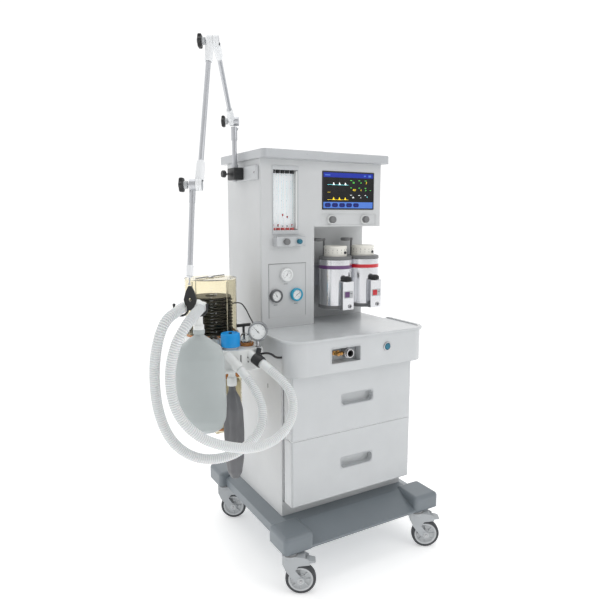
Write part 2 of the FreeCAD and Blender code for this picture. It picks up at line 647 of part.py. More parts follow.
def selector_lever():
    """Black T-handle that switches between the bag and the bellows."""
    x, y = SELECTOR
    stem = cylinder("selector_stem", 4, 66, (x, y, "block_high - 12"))
    collar = cylinder("selector_collar", 7, 10, (x, y, "block_high + gap"))
    bar = box("selector_bar", (x - 24, y - 5, 828), (x + 24, y + 5, 838))
    node("selector_lever", fuse("selector", stem, collar, rounded("selector_soft", bar, 3, along("x"))))


def canister():
    """Clear canister for the absorbent, under the block."""
    outside = [(0, 0), (48, 0), (54, 6), (54, 190), (48, 196), (0, 196)]
    inside = [(0, 3), (47, 3), (51, 8), (51, 188), (46, 193), (0, 193)]
    low = "block_low - 23.5 - 196"
    shell = revolved("canister_shell", outside, (-405, 160, low))
    room = revolved("canister_room", inside, (-405, 160, low))
    mouth = cylinder("canister_mouth", 38, 30, (-405, 160, "block_low - 40"))
    handle = box("canister_handle", (-445, 152, f"{low} - 14"), (-365, 168, f"{low} + 0.5"))
    body = cut("canister_hollow", shell, room, mouth)
    node("canister", fuse("canister_whole", body, rounded("handle_soft", handle, 5, along("y"))))


def bellows_unit():
    """Clear dome, folded bellows under it and the weight disc that rides on them."""
    high = "dome_high - dome_low"
    outer = [("dome_radius - 3", 0), ("dome_radius", 0), ("dome_radius", high), (0, high), (0, f"{high} - 3"),
             ("dome_radius - 3", f"{high} - 3")]
    node("bellows_dome", revolved("dome_glass", outer, ("dome_x", "dome_y", "dome_low")))
    folds = 9
    floor_gap = 2
    pitch = (value("bellows_top - dome_low") - floor_gap - 6) / folds
    corners = [(0, floor_gap)]
    for fold in range(folds):
        start = floor_gap + fold * pitch
        corners += [(58, start), (70, start + 0.3 * pitch), (70, start + 0.7 * pitch)]
    corners += [(58, floor_gap + folds * pitch), (0, floor_gap + folds * pitch)]
    node("bellows", revolved("bellows_folds", corners, ("dome_x", "dome_y", "dome_low")))
    disc = [(0, -5.5), (66, -5.5), (66, 0), (20, 1), (18, 4), (0, 4)]
    node("bellows_disc", revolved("disc_plate", disc, ("dome_x", "dome_y", "bellows_top")))


def airway_gauge():
    """Pressure gauge on its mast beside the valves, facing front left."""
    facing = FreeCAD.Rotation(Vector(0, 0, 1), -30) * FreeCAD.Rotation(Vector(1, 0, 0), 90)
    turn = ((facing.Axis.x, facing.Axis.y, facing.Axis.z), math.degrees(facing.Angle))
    case = gauge("airway_case", 31, 20, (-323, 78, 826), turn=turn)
    node("airway_gauge", case)


def reservoir_bag():
    """Black reservoir bag hanging folded from the block's bag port, with its white connector."""
    bag = soft_bag("black_bag_skin", Vector(-418, 72, 664), 312, 37, 25, 10)
    collar = cylinder("black_bag_collar", 13, 27, (-418, 72, 664))
    bore = cylinder("collar_bore", "11 + gap", 30, (-418, 72, 671))
    node("reservoir_bag", bag, cut("collar_ring", collar, bore))


def soft_bag(name, top, length, half_width, half_depth, neck, turn=0):
    """A thin-walled bag that hangs from its open neck, lofted from rounded ovals."""
    wall = 2.5
    outer = [(0, 0.0), (0.04, 0.02), (0.12, 0.62), (0.25, 0.9), (0.5, 1.0), (0.75, 0.95), (0.9, 0.7), (0.985, 0.28)]
    inner = [(-0.01, 0.0)] + outer[1:-1] + [(0.97, 0.3)]
    shapes = []
    for stations, thinner in ((outer, 0), (inner, wall)):
        rings = []
        for down, fullness in stations:
            wide = neck + (half_width - neck) * fullness - thinner
            deep = neck * 0.999 + (half_depth - neck * 0.999) * fullness - thinner
            ring = Part.Wire([Part.Ellipse(Vector(0, 0, 0), wide, deep).toShape()])
            ring.translate(Vector(0, 0, -down * length))
            rings.append(ring)
        shapes.append(Part.makeLoft(rings, True))
    bag = DOC.addObject("Part::Feature", name)
    bag.Shape = shapes[0].cut(shapes[1])
    bag.Placement = FreeCAD.Placement(top, FreeCAD.Rotation(Vector(0, 0, 1), turn))
    return bag


# ---------------------------------------------------------------- jointed arm


def arm_point(reach, rise, side):
    """A point given along the arm's heading, above the shoulder, and to its knob side."""
    heading = math.radians(value("heading"))
    ahead = Vector(math.cos(heading), math.sin(heading), 0)
    beside = Vector(-math.sin(heading), math.cos(heading), 0) * -1
    shoulder = Vector(value("post_x"), value("post_y"), value("shoulder_z"))
    return shoulder + ahead * value(reach) + Vector(0, 0, value(rise)) + beside * value(side)


def drop_rod():
    """Foot of the drop tube, and the direction that the tube and its rod point in."""
    end = arm_point("holder_reach", "holder_rise", "holder_side")
    start = arm_point("wrist_reach", "wrist_rise", "drop_side")
    return end, (end - start).normalize()


def disc(name, radius, reach, rise, start, end):
    """A short cylinder across the arm, from one side offset to another."""
    return rod_between(name, radius, arm_point(reach, rise, start), arm_point(reach, rise, end))


def clamp_knob(name, reach, rise, start):
    """A star knob on a joint's pin: six lobes round a hub."""
    hub = disc("knob_hub", 9, reach, rise, start, start + 13)
    parts = [hub, disc("knob_core", 17, reach, rise, start + 9, start + 22)]
    heading = math.radians(value("heading"))
    ahead = Vector(math.cos(heading), math.sin(heading), 0)
    for i in range(6):
        angle = math.radians(60 * i)
        offset = ahead * 17 * math.cos(angle) + Vector(0, 0, 17 * math.sin(angle))
        low = arm_point(reach, rise, start + 9) + offset
        high = arm_point(reach, rise, start + 22) + offset
        parts.append(rod_between("knob_lobe", 5, low, high))
    bore = disc("knob_bore", value("pin_radius") + 0.05, reach, rise, start - 1, start + 15)
    node(name, cut(name + "_solid", fuse(name + "_star", *parts), bore))


def arm():
    """Support arm: clamp, post, two links, drop tube and star knobs at the three joints."""
    thick = value("head_thick")
    elbow = ("elbow_reach", "elbow_rise")
    wrist = ("wrist_reach", "elbow_rise - 401")
    gap = 0.5
    pin = "pin_radius"
    bore = value("pin_radius") + 0.05

    body = box("clamp_block", (-297, 305, 1306), (-262, 366, 1347))
    post_bore = cylinder("post_bore", 8.05, 60, ("post_x", "post_y", 1300))
    plate = box("clamp_plate", (-262, 212, 1303), ("-column_half - 0.1", 400, 1350))
    lever = cylinder("clamp_screw", 4, 14, (-310, 352, 1327), "x")
    grip = cylinder("clamp_grip", 9, 12, (-322, 352, 1327), "x")
    block = cut("clamp_body", rounded("clamp_soft", body, 3, along("z")), post_bore)
    node("arm_clamp", fuse("clamp_whole", block, lever, grip), plate)

    post = cylinder("post_rod", 8, 161, ("post_x", "post_y", 1302))
    collar = cylinder("post_collar", 12, 12, ("post_x", "post_y", "1347 + gap"))
    sleeve = cylinder("post_sleeve", 10.5, 44, ("post_x", "post_y", 1440))
    head_low = arm_point(0, -20, -thick / 2 - gap)
    neck = rod_between("post_neck", 8, Vector(value("post_x"), value("post_y"), 1470), head_low)
    head = disc("post_head", "head_radius", 0, 0, -thick - gap, -gap)
    stub = disc("post_pin", pin, 0, 0, -gap - 1, thick + 14)
    node("arm_post", fuse("post_whole", post, collar, sleeve, neck, head, stub))

    links = (
        ("arm_inner_link", (0, 0), elbow, thick / 2, thick / 2, True),
        ("arm_outer_link", elbow, wrist, 1.5 * thick + gap, 1.5 * thick + gap + 10, True),
    )
    for name, near, far, side_near, side_far, has_pin in links:
        start = arm_point(*near, side_near)
        end = arm_point(*far, side_far)
        ahead = (end - start).normalize()
        tube = rod_between(name + "_tube", "tube_radius", start + ahead * 30, end - ahead * 30)
        near_sleeve = rod_between(name + "_near", "sleeve_radius", start + ahead * 10, start + ahead * 46)
        far_sleeve = rod_between(name + "_far", "sleeve_radius", end - ahead * 46, end - ahead * 10)
        near_head = disc(name + "_root", "head_radius", *near, side_near - thick / 2, side_near + thick / 2)
        far_head = disc(name + "_tip", "head_radius", *far, side_far - thick / 2, side_far + thick / 2)
        stub = disc(name + "_pin", pin, *far, side_far, side_far + 1.5 * thick + gap + 14)
        hole = disc(name + "_bore", bore, *near, side_near - thick, side_near + thick)
        whole = fuse(name + "_whole", tube, near_sleeve, far_sleeve, near_head, far_head)
        node(name, fuse(name + "_pinned", cut(name + "_solid", whole, hole), stub))

    side = value("drop_side")
    start = arm_point(*wrist, side)
    end, down = drop_rod()
    tube = rod_between("drop_tube", "tube_radius", start + down * 20, end)
    sleeve = rod_between("drop_sleeve", "sleeve_radius", start + down * 8, start + down * 46)
    head = disc("drop_head", "head_radius", *wrist, side - thick / 2, side + thick / 2)
    ring = rod_between("drop_ring", 9, end - down * 10, end)
    hole = disc("drop_bore", bore, *wrist, side - thick, side + thick)
    rod = rod_between("drop_rod", 2, end - down, end + down * 22)
    button = rod_between("drop_button", 4, end + down * 19, end + down * 22.6)
    node("arm_drop_tube", fuse("drop_all", cut("drop_solid", fuse("drop_whole", tube, sleeve, head, ring), hole), rod, button))

    clamp_knob("arm_knob_shoulder", 0, 0, thick + gap)
    clamp_knob("arm_knob_elbow", *elbow, 2 * thick + 2 * gap)
    clamp_knob("arm_knob_wrist", *wrist, side + thick / 2 + 2 * gap)


def hose_holder():
    """Black holder that swivels on the drop tube's rod: a slotted plate with two open hooks."""
    middle = value("holder_side")
    base_rise = value("hook_z - shoulder_z")
    spread = value("hook_spread")
    reach = value("holder_reach")
    heading = FreeCAD.Rotation(Vector(0, 0, 1), value("heading") + 90)
    half = [(4, 60), (11, 46), (17, 25), (14, 12), (10, 6), (8, -4)]
    outline = half + [(-across, up) for across, up in reversed(half)]
    plate = padded("holder_plate", outline, 8, (0, 0, 0), ((1, 0, 0), 90))
    spot = arm_point(reach, base_rise, middle)
    back = arm_point(reach + 4, base_rise, middle)
    upright = FreeCAD.Rotation(Vector(1, 0, 0), 90)
    plate.Placement = FreeCAD.Placement(2 * spot - back, heading * upright)
    slot = rod_between("holder_slot", 4, arm_point(reach - 9, base_rise + 24, middle),
                       arm_point(reach + 9, base_rise + 24, middle))
    parts = []
    for side in (-1, 1):
        centre = arm_point(reach, base_rise, middle + side * spread)
        ring = DOC.addObject("Part::Torus", "hook_ring")
        bind(ring, "Radius1", "hook_radius")
        bind(ring, "Radius2", "hook_wire")
        ring.Angle3 = 180
        ring.Placement = FreeCAD.Placement(centre, heading * FreeCAD.Rotation(Vector(1, 0, 0), -90))
        parts.append(ring)
        tip_side = middle + side * (spread + value("hook_radius"))
        tip = arm_point(reach, base_rise + 10, tip_side)
        parts.append(rod_between("hook_tip", "hook_wire", arm_point(reach, base_rise, tip_side), tip))
        parts.append(ball_at("hook_ball", 4, tip))
    whole = fuse("holder_whole", plate, *parts)
    # The drop rod's button turns in this room near the plate's top.
    end, down = drop_rod()
    rod_bore = rod_between("holder_bore", 2.05, end - down * 6, end + down * 24)
    room = rod_between("holder_room", 4.3, end + down * 18.6, end + down * 24)
    node("hose_holder", cut("holder_solid", whole, slot, rod_bore, room))


def breathing_y_piece():
    """White Y-piece behind the hooks: two hose tails, a junction and an elbow down to the bag."""
    rise = value("hook_z - shoulder_z")
    junction = arm_point(452, rise, 57)
    parts = [ball_at("y_middle", 13, junction)]
    for side in (38, 88):
        knee = arm_point(484, rise, side)
        parts.append(rod_between("y_tail", 12, arm_point(498, rise, side), knee))
        parts.append(ball_at("y_knee", 12, knee))
        parts.append(rod_between("y_limb", 11, knee, junction))
    parts.append(rod_between("y_elbow", 12, junction, junction + Vector(0, 0, -70)))
    parts.append(rod_between("y_collar", 15, junction + Vector(0, 0, -58), junction + Vector(0, 0, -72)))
    node("breathing_y_piece", fuse("y_whole", *parts))


def test_bag():
    """Grey bag on the Y-piece's elbow."""
    junction = arm_point(452, value("hook_z - shoulder_z"), 57)
    bag = soft_bag("grey_bag_skin", junction + Vector(0, 0, -72.3), 305, 72, 50, 12, turn=value("heading") - 90)
    node("test_bag", bag)


# ---------------------------------------------------------------- hoses and lines


def tube_along(name, points, radius):
    """A flexible tube: straight runs joined by tangent arcs, as large as the runs allow."""
    share = 0.45
    runs = [b - a for a, b in zip(points, points[1:])]
    edges = []
    start = points[0]
    bends = []
    for i in range(1, len(points) - 1):
        before, after = runs[i - 1], runs[i]
        turn = before.getAngle(after)
        reach = share * min(before.Length, after.Length)
        bends.append(reach / math.tan(turn / 2))
        enter = points[i] - Vector(before).normalize() * reach
        leave = points[i] + Vector(after).normalize() * reach
        inward = (Vector(after).normalize() - Vector(before).normalize()).normalize()
        centre = points[i] + inward * (bends[-1] / math.cos(turn / 2))
        top = centre - inward * bends[-1]
        edges.append(Part.LineSegment(start, enter).toShape())
        edges.append(Part.Arc(enter, top, leave).toShape())
        start = leave
    edges.append(Part.LineSegment(start, points[-1]).toShape())
    path = Part.Wire(edges)
    ring = Part.Wire([Part.Circle(points[0], runs[0], radius).toShape()])
    shape = path.makePipeShell([ring], True, True)
    tube = DOC.addObject("Part::Feature", name)
    tube.Shape = shape
    expected = math.pi * radius ** 2 * path.Length
    print(f"{name}: length {path.Length:.0f} mm, radii {[round(b) for b in bends]}, "
          f"volume over section times length {shape.Volume / expected:.4f}")
    return tube


HOSE_ONE = [
    (-343, 12.5, 738.2), (-322, -34, 714), (-297, -88, 672), (-309, -130, 619), (-363, -160, 570),
    (-454, -180, 556), (-551, -196, 588), (-628.5, -198.8, 631.2), (-678.2, -184, 697.6),
    (-691.4, -176.3, 784.6), (-676.7, -184.9, 870.7), (-643.4, -185.6, 922.1),
    (-599.9, -139.1, 943), (-562.2, -73.8, 943),
]
HOSE_TWO = [
    (-409.5, 26, 724), (-392, -20, 688), (-381, -70, 631), (-402, -102, 577), (-460, -121, 541),
    (-529, -135, 529), (-610, -138, 544), (-675.7, -132.3, 600), (-708.4, -127.3, 690.4),
    (-717.4, -138.2, 797), (-707.7, -148.5, 880.3), (-682.9, -139.7, 929.4), (-641.2, -110.6, 943),
    (-605.5, -48.8, 943),
]
PRESSURE_LINE = [(-373.5, 162.4, 905.3), (-359, 139, 914), (-348, 118, 896), (-338, 102, 862), (-326, 88, 834)]
FRESH_GAS_LINE = [(-339.9, 41.6, 757.5), (-330, 30, 765), (-308, 18, 763), (-291, 17, 746), (-272.3, 17, 746)]


def vectors(points):
    """The points as vectors."""
    return [Vector(*p) for p in points]


def hoses():
    """The two breathing hoses and the black gas lines."""
    radius = value("hose_radius")
    node("hose_inspiratory", tube_along("hose_one", vectors(HOSE_ONE), radius))
    node("hose_expiratory", tube_along("hose_two", vectors(HOSE_TWO), radius))
    lines = [tube_along("pressure_line", vectors(PRESSURE_LINE), 2.0)]
    lines.append(tube_along("fresh_gas_line", vectors(FRESH_GAS_LINE), 3.5))
    node("gas_lines", *lines)


# ---------------------------------------------------------------- the machine


def build():
    """Makes every piece of the machine."""
    base_chassis()
    for name, (x, y) in CASTERS.items():
        caster(name, x, y)
    cabinet_shell()
    drawer("upper", "drawer_split + 1.5", "cabinet_top - 3")
    drawer("lower", "drawer_low", "drawer_split - 1.5")
    worktop()
    outlet_fittings()
    flush_button()
    column_shell()
    top_shelf()
    rear_cover()
    display()
    flowmeters()
    gauge_cases()
    vaporizer_manifold()
    vaporizers()
    absorber_block()
    valve_domes()
    relief_cap()
    selector_lever()
    canister()
    bellows_unit()
    airway_gauge()
    reservoir_bag()
    arm()
    hose_holder()
    breathing_y_piece()
    test_bag()
    hoses()


def check_and_export():
    """Stops on any failed object, then writes each piece to its own STEP file."""
    DOC.recompute()
    for thing in DOC.Objects:
        if "Invalid" in thing.State or "Error" in thing.State:
            raise RuntimeError(f"{thing.Name} failed: {thing.State}")
    for piece in NODES:
        shape = piece.Shape
        if shape.isNull() or not shape.isValid() or not shape.Solids:
            raise RuntimeError(f"{piece.Label} has no valid solid")
    os.makedirs("parts", exist_ok=True)
    for piece in NODES:
        piece.Shape.exportStep(os.path.join("parts", piece.Label + ".step"))
    print(f"{len(NODES)} pieces written")


build()
check_and_export()
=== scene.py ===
import json
import math

import bmesh
import bpy
import numpy as np
from mathutils import Matrix, Vector, noise


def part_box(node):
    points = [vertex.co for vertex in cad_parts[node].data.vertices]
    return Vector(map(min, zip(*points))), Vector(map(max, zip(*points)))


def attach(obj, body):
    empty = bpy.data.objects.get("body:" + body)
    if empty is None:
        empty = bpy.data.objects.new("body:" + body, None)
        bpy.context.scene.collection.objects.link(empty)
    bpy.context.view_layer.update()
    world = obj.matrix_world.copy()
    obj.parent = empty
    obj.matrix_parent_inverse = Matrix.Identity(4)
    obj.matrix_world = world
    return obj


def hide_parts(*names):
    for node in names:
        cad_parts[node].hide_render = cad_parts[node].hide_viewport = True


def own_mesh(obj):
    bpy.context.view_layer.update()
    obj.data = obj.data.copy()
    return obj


# Anesthesia machine.  Places are given in the machine's own millimetres (X = 0 in the middle of
# the cabinet, Y = 0 on the drawer fronts, Z = 0 on the floor) and spot() turns them into the
# frame's metres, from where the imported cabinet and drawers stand.

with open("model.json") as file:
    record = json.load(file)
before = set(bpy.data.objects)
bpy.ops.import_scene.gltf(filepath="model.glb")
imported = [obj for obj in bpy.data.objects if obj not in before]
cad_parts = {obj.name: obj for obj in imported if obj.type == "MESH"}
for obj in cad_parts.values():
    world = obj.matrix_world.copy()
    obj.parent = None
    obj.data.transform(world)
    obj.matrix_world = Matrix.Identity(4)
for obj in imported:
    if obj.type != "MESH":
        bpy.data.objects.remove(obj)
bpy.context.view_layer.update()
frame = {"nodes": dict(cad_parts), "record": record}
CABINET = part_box("cabinet_shell")
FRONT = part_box("drawer_upper")[0][1]
MIDDLE = (CABINET[0][0] + CABINET[1][0]) / 2
JOINTS = {j["name"]: j for j in frame["record"]["behaviour"]["joints"]}
UP = Vector((0, 0, 1))


def spot(x, y, z):
    """A place on the machine, in the frame's metres."""
    return Vector((MIDDLE + x / 1000, FRONT + y / 1000, z / 1000))


# Takes places in the machine's own axes, already in metres, to the frame.
MACHINE = Matrix.Translation(spot(0, 0, 0))


def pivot(name):
    """A joint's own point and axis."""
    return Vector(JOINTS[name]["pos_m"]), Vector(JOINTS[name]["axis"]).normalized()


# ---------------------------------------------------------------- camera


EYE = (-1088.1, -1512.0, 1187.4)
LENS_MM = 34.08
SENSOR_MM = 36
LOOK_DOWN = 0.1487
LOOK_RIGHT = 0.5234


def camera():
    """The photograph's viewpoint."""
    data = bpy.data.cameras.new("camera")
    data.lens = LENS_MM
    data.sensor_width = SENSOR_MM
    data.clip_end = 60
    eye = bpy.data.objects.new("camera", data)
    eye.location = spot(*EYE)
    eye.rotation_euler = (math.radians(90) - LOOK_DOWN, 0, -LOOK_RIGHT)
    bpy.context.collection.objects.link(eye)
    bpy.context.scene.camera = eye


# ---------------------------------------------------------------- materials


def linear(r, g, b):
    """A screen colour from 0 to 255 as the linear colour that the shader wants."""
    out = []
    for v in (r, g, b):
        v /= 255
        out.append(v / 12.92 if v <= 0.04045 else ((v + 0.055) / 1.055) ** 2.4)
    return (*out, 1)


MADE = {}
PATCH_SCALE = 9    # large, faint drifts of colour
SMEAR_SCALE = 38   # uneven gloss


def surface(name, colour, rough=0.4, metal=0.0, mottle=0.03, grain=900, bump=0.02, wear=0.06,
            coat=0.0, sheen=0.0, edge=0.0, stretch=(1, 1, 1), glow=0.0):
    """A finished material: colour that drifts a little, uneven gloss and a fine grain."""
    if name in MADE:
        return MADE[name]
    mat = bpy.data.materials.new(name)
    mat.use_nodes = True
    tree = mat.node_tree
    nodes, links = tree.nodes, tree.links
    shader = nodes["Principled BSDF"]
    shader.inputs["Metallic"].default_value = metal
    shader.inputs["Coat Weight"].default_value = coat
    shader.inputs["Coat Roughness"].default_value = 0.12
    shader.inputs["Sheen Weight"].default_value = sheen
    where = nodes.new("ShaderNodeTexCoord")
    scaled = nodes.new("ShaderNodeMapping")
    scaled.inputs["Scale"].default_value = stretch
    links.new(where.outputs["Object"], scaled.inputs["Vector"])

    patches = nodes.new("ShaderNodeTexNoise")
    patches.inputs["Scale"].default_value = PATCH_SCALE
    patches.inputs["Detail"].default_value = 5
    links.new(where.outputs["Object"], patches.inputs["Vector"])
    tint = nodes.new("ShaderNodeValToRGB")
    base = linear(*colour)
    tint.color_ramp.elements[0].position = 0.3
    tint.color_ramp.elements[1].position = 0.7
    tint.color_ramp.elements[0].color = (*(c * (1 - mottle) for c in base[:3]), 1)
    tint.color_ramp.elements[1].color = (*(min(1, c * (1 + mottle)) for c in base[:3]), 1)
    links.new(patches.outputs["Fac"], tint.inputs["Fac"])
    links.new(tint.outputs["Color"], shader.inputs["Base Color"])

    gloss = nodes.new("ShaderNodeMapRange")
    gloss.inputs["To Min"].default_value = max(0.02, rough - wear)
    gloss.inputs["To Max"].default_value = min(1, rough + wear)
    smears = nodes.new("ShaderNodeTexNoise")
    smears.inputs["Scale"].default_value = SMEAR_SCALE
    smears.inputs["Detail"].default_value = 6
    links.new(scaled.outputs["Vector"], smears.inputs["Vector"])
    links.new(smears.outputs["Fac"], gloss.inputs["Value"])
    links.new(gloss.outputs["Result"], shader.inputs["Roughness"])

    fine = nodes.new("ShaderNodeTexNoise")
    fine.inputs["Scale"].default_value = grain
    fine.inputs["Detail"].default_value = 3
    links.new(scaled.outputs["Vector"], fine.inputs["Vector"])
    relief = nodes.new("ShaderNodeBump")
    relief.inputs["Strength"].default_value = bump
    relief.inputs["Distance"].default_value = 0.001
    links.new(fine.outputs["Fac"], relief.inputs["Height"])
    if edge:
        soft = nodes.new("ShaderNodeBevel")
        soft.inputs["Radius"].default_value = edge
        soft.samples = 4
        links.new(soft.outputs["Normal"], relief.inputs["Normal"])
    links.new(relief.outputs["Normal"], shader.inputs["Normal"])
    if glow:
        links.new(tint.outputs["Color"], shader.inputs["Emission Color"])
        shader.inputs["Emission Strength"].default_value = glow
    MADE[name] = mat
    return mat


def clear(name, colour, rough=0.05, bump=0.02, cloud=0.04):
    """A clear or tinted plastic or glass with faint waves in it."""
    if name in MADE:
        return MADE[name]
    mat = surface(name, colour, rough=rough, mottle=cloud, grain=60, bump=bump, wear=0.03)
    shader = mat.node_tree.nodes["Principled BSDF"]
    shader.inputs["Transmission Weight"].default_value = 1.0
    shader.inputs["IOR"].default_value = 1.14
    return mat


def paint():
    return surface("grey_powder_coat", (204, 206, 207), rough=0.42, grain=700, bump=0.05, edge=0.0015)


def moulding():
    return surface("white_moulding", (200, 203, 205), rough=0.24, grain=300, bump=0.02, coat=0.3, edge=0.0025)


def shelf_moulding():
    return surface("shelf_moulding", (184, 187, 190), rough=0.3, grain=300, bump=0.03, coat=0.2, edge=0.0025)


def slate():
    return surface("slate_moulding", (121, 129, 135), rough=0.34, grain=520, bump=0.08, edge=0.004)


def light_plastic():
    return surface("light_plastic", (196, 199, 201), rough=0.36, grain=600, bump=0.04, edge=0.001)


def caster_plastic():
    return surface("caster_plastic", (178, 182, 185), rough=0.38, grain=600, bump=0.05, mottle=0.05,
                   edge=0.001)


def white_plastic():
    return surface("white_plastic", (226, 228, 227), rough=0.33, grain=500, bump=0.03, edge=0.0006)


def dark_plastic():
    return surface("dark_plastic", (30, 31, 33), rough=0.4, grain=800, bump=0.05, mottle=0.12, edge=0.0006)


def grey_plastic():
    return surface("grey_plastic", (118, 119, 120), rough=0.38, grain=800, bump=0.05, edge=0.0006)


def tyre_rubber():
    return surface("tyre_rubber", (66, 68, 71), rough=0.62, grain=420, bump=0.12, mottle=0.1)


def alloy():
    return surface("satin_alloy", (196, 198, 202), rough=0.34, metal=0.75, mottle=0.01, grain=900, bump=0.015,
                   wear=0.03)


def steel():
    return surface("steel", (190, 190, 192), rough=0.24, metal=1.0, grain=500, bump=0.03)


def brass():
    return surface("brass", (206, 160, 98), rough=0.26, metal=1.0, mottle=0.08, grain=400, bump=0.03)


def teal():
    return surface("teal_plastic", (0, 106, 130), rough=0.28, grain=500, bump=0.03, coat=0.3)


def blue():
    return surface("blue_plastic", (0, 148, 222), rough=0.42, grain=600, bump=0.04, edge=0.0006)


def cream():
    return surface("cream_plastic", (240, 238, 230), rough=0.32, grain=500, bump=0.03, edge=0.0008)


def amber():
    return surface("amber_plastic", (176, 112, 48), rough=0.22, grain=300, bump=0.03, mottle=0.15, coat=0.4)


def dial_face():
    return surface("dial_face", (240, 242, 242), rough=0.35, grain=300, bump=0.01)


def ink():
    return surface("ink", (52, 54, 58), rough=0.5, grain=900, bump=0.02)


# ---------------------------------------------------------------- mesh tools


def finish_mesh(name, bm, mats, body, sharp=32, stands_for=None):
    """Turns a bmesh into a piece that rides on a body, smooth but for its sharp edges.

    stands_for is the CAD node that the piece replaces."""
    bmesh.ops.recalc_face_normals(bm, faces=bm.faces)
    for edge in bm.edges:
        if len(edge.link_faces) == 2:
            edge.smooth = edge.calc_face_angle(0) < math.radians(sharp)
    for face in bm.faces:
        face.smooth = True
    mesh = bpy.data.meshes.new(name)
    bm.to_mesh(mesh)
    bm.free()
    obj = bpy.data.objects.new(name, mesh)
    bpy.context.collection.objects.link(obj)
    for mat in mats if isinstance(mats, (list, tuple)) else [mats]:
        mesh.materials.append(mat)
    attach(obj, body)
    if stands_for:
        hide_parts(stands_for)
    return obj


def facing(direction):
    """A turn that points local Z along a direction, with local Y as near up as it can be."""
    ahead = Vector(direction).normalized()
    if abs(ahead.z) > 0.999:
        return Matrix.Rotation(0 if ahead.z > 0 else math.pi, 4, "X")
    side = UP.cross(ahead).normalized()
    upward = ahead.cross(side)
    return Matrix((side, upward, ahead)).transposed().to_4x4()


def at(place, direction=(0, 0, 1)):
    """The matrix that stands a piece at a place, its local Z along a direction."""
    return Matrix.Translation(place) @ facing(direction)


def add_lathe(bm, profile, matrix, mat=0, segments=48, lobes=None):
    """A turned form: (radius, height) corners in millimetres go round local Z.

    lobes is (how many, how deep, least radius): it makes a scalloped or knurled rim."""
    rings = []
    for radius, height in profile:
        if radius < 1e-6:
            rings.append([bm.verts.new(matrix @ Vector((0, 0, height / 1000)))])
            continue
        ring = []
        for i in range(segments):
            angle = math.tau * i / segments
            reach = radius
            if lobes and radius > lobes[2]:
                reach *= 1 + lobes[1] * (math.cos(lobes[0] * angle) - 1) / 2
            local = Vector((reach * math.cos(angle), reach * math.sin(angle), height)) / 1000
            ring.append(bm.verts.new(matrix @ local))
        rings.append(ring)
    faces = []
    for low, high in zip(rings, rings[1:]):
        for i in range(segments):
            j = (i + 1) % segments
            if len(low) == 1 and len(high) == 1:
                continue
            if len(low) == 1:
                faces.append(bm.faces.new((low[0], high[j], high[i])))
            elif len(high) == 1:
                faces.append(bm.faces.new((low[i], low[j], high[0])))
            else:
                faces.append(bm.faces.new((low[i], low[j], high[j], high[i])))
    for face in faces:
        face.material_index = mat
    return faces


def add_block(bm, low, high, matrix=None, mat=0, soft=0.0, segments=3):
    """A block between two corners in millimetres, with rounded edges."""
    piece = bmesh.new()
    bmesh.ops.create_cube(piece, size=1)
    size = [(b - a) / 1000 for a, b in zip(low, high)]
    centre = Vector([(a + b) / 2000 for a, b in zip(low, high)])
    for vert in piece.verts:
        vert.co = Vector([vert.co[i] * size[i] for i in range(3)]) + centre
    if soft:
        limit = min(abs(s) for s in size) * 0.49
        bmesh.ops.bevel(piece, geom=piece.edges[:], offset=min(soft / 1000, limit), segments=segments,
                        profile=0.5, affect="EDGES")
    append(bm, piece, matrix, mat)


def append(bm, piece, matrix=None, mat=0):
    """Adds one bmesh to another and frees it."""
    made = {}
    for vert in piece.verts:
        made[vert] = bm.verts.new(matrix @ vert.co if matrix else vert.co)
    for face in piece.faces:
        copy = bm.faces.new([made[v] for v in face.verts])
        copy.material_index = mat
    piece.free()


def add_outline(bm, outline, depth, matrix, mat=0, soft=0.0):
    """A plate from a closed outline in millimetres, depth thick along local Z."""
    piece = bmesh.new()
    low, high = ([piece.verts.new((x / 1000, y / 1000, z / 1000)) for x, y in outline] for z in (0, depth))
    piece.faces.new(low[::-1])
    piece.faces.new(high)
    for i in range(len(low)):
        j = (i + 1) % len(low)
        piece.faces.new((low[i], low[j], high[j], high[i]))
    if soft:
        piece.normal_update()
        rim = [e for e in piece.edges if (e.verts[0] in low) == (e.verts[1] in low)]
        bmesh.ops.bevel(piece, geom=rim, offset=soft / 1000, segments=2, profile=0.5, affect="EDGES")
    append(bm, piece, matrix, mat)


def oblong(width, height, radius, steps=8):
    """A rectangle with round corners, as an outline about its middle."""
    corners = []
    for cx, cy, start in ((1, 1, 0), (-1, 1, 90), (-1, -1, 180), (1, -1, 270)):
        for i in range(steps + 1):
            angle = math.radians(start + 90 * i / steps)
            x = cx * (width / 2 - radius) + radius * math.cos(angle)
            y = cy * (height / 2 - radius) + radius * math.sin(angle)
            corners.append((x, y))
    return corners


def add_rod(bm, start, end, radius, mat=0, segments=20, soft=0.4):
    """A round rod between two places, its ends a little rounded."""
    length = (end - start).length * 1000
    profile = [(0, 0), (radius - soft, 0), (radius, soft), (radius, length - soft), (radius - soft, length),
               (0, length)]
    add_lathe(bm, profile, at(start, end - start), mat, segments)


def add_text(bm, words, height, matrix, mat=0, lift=0.15):
    """Generic numerals as flat raised shapes, height in millimetres."""
    curve = bpy.data.curves.new("numeral", "FONT")
    curve.body = words
    curve.size = height / 1000
    curve.extrude = lift / 1000
    curve.align_x = "CENTER"
    curve.align_y = "CENTER"
    holder = bpy.data.objects.new("numeral", curve)
    bpy.context.collection.objects.link(holder)
    bpy.context.view_layer.update()
    mesh = bpy.data.meshes.new_from_object(holder.evaluated_get(bpy.context.evaluated_depsgraph_get()))
    piece = bmesh.new()
    piece.from_mesh(mesh)
    append(bm, piece, matrix, mat)
    bpy.data.objects.remove(holder)
    bpy.data.curves.remove(curve)
    bpy.data.meshes.remove(mesh)


# ---------------------------------------------------------------- hoses and lines


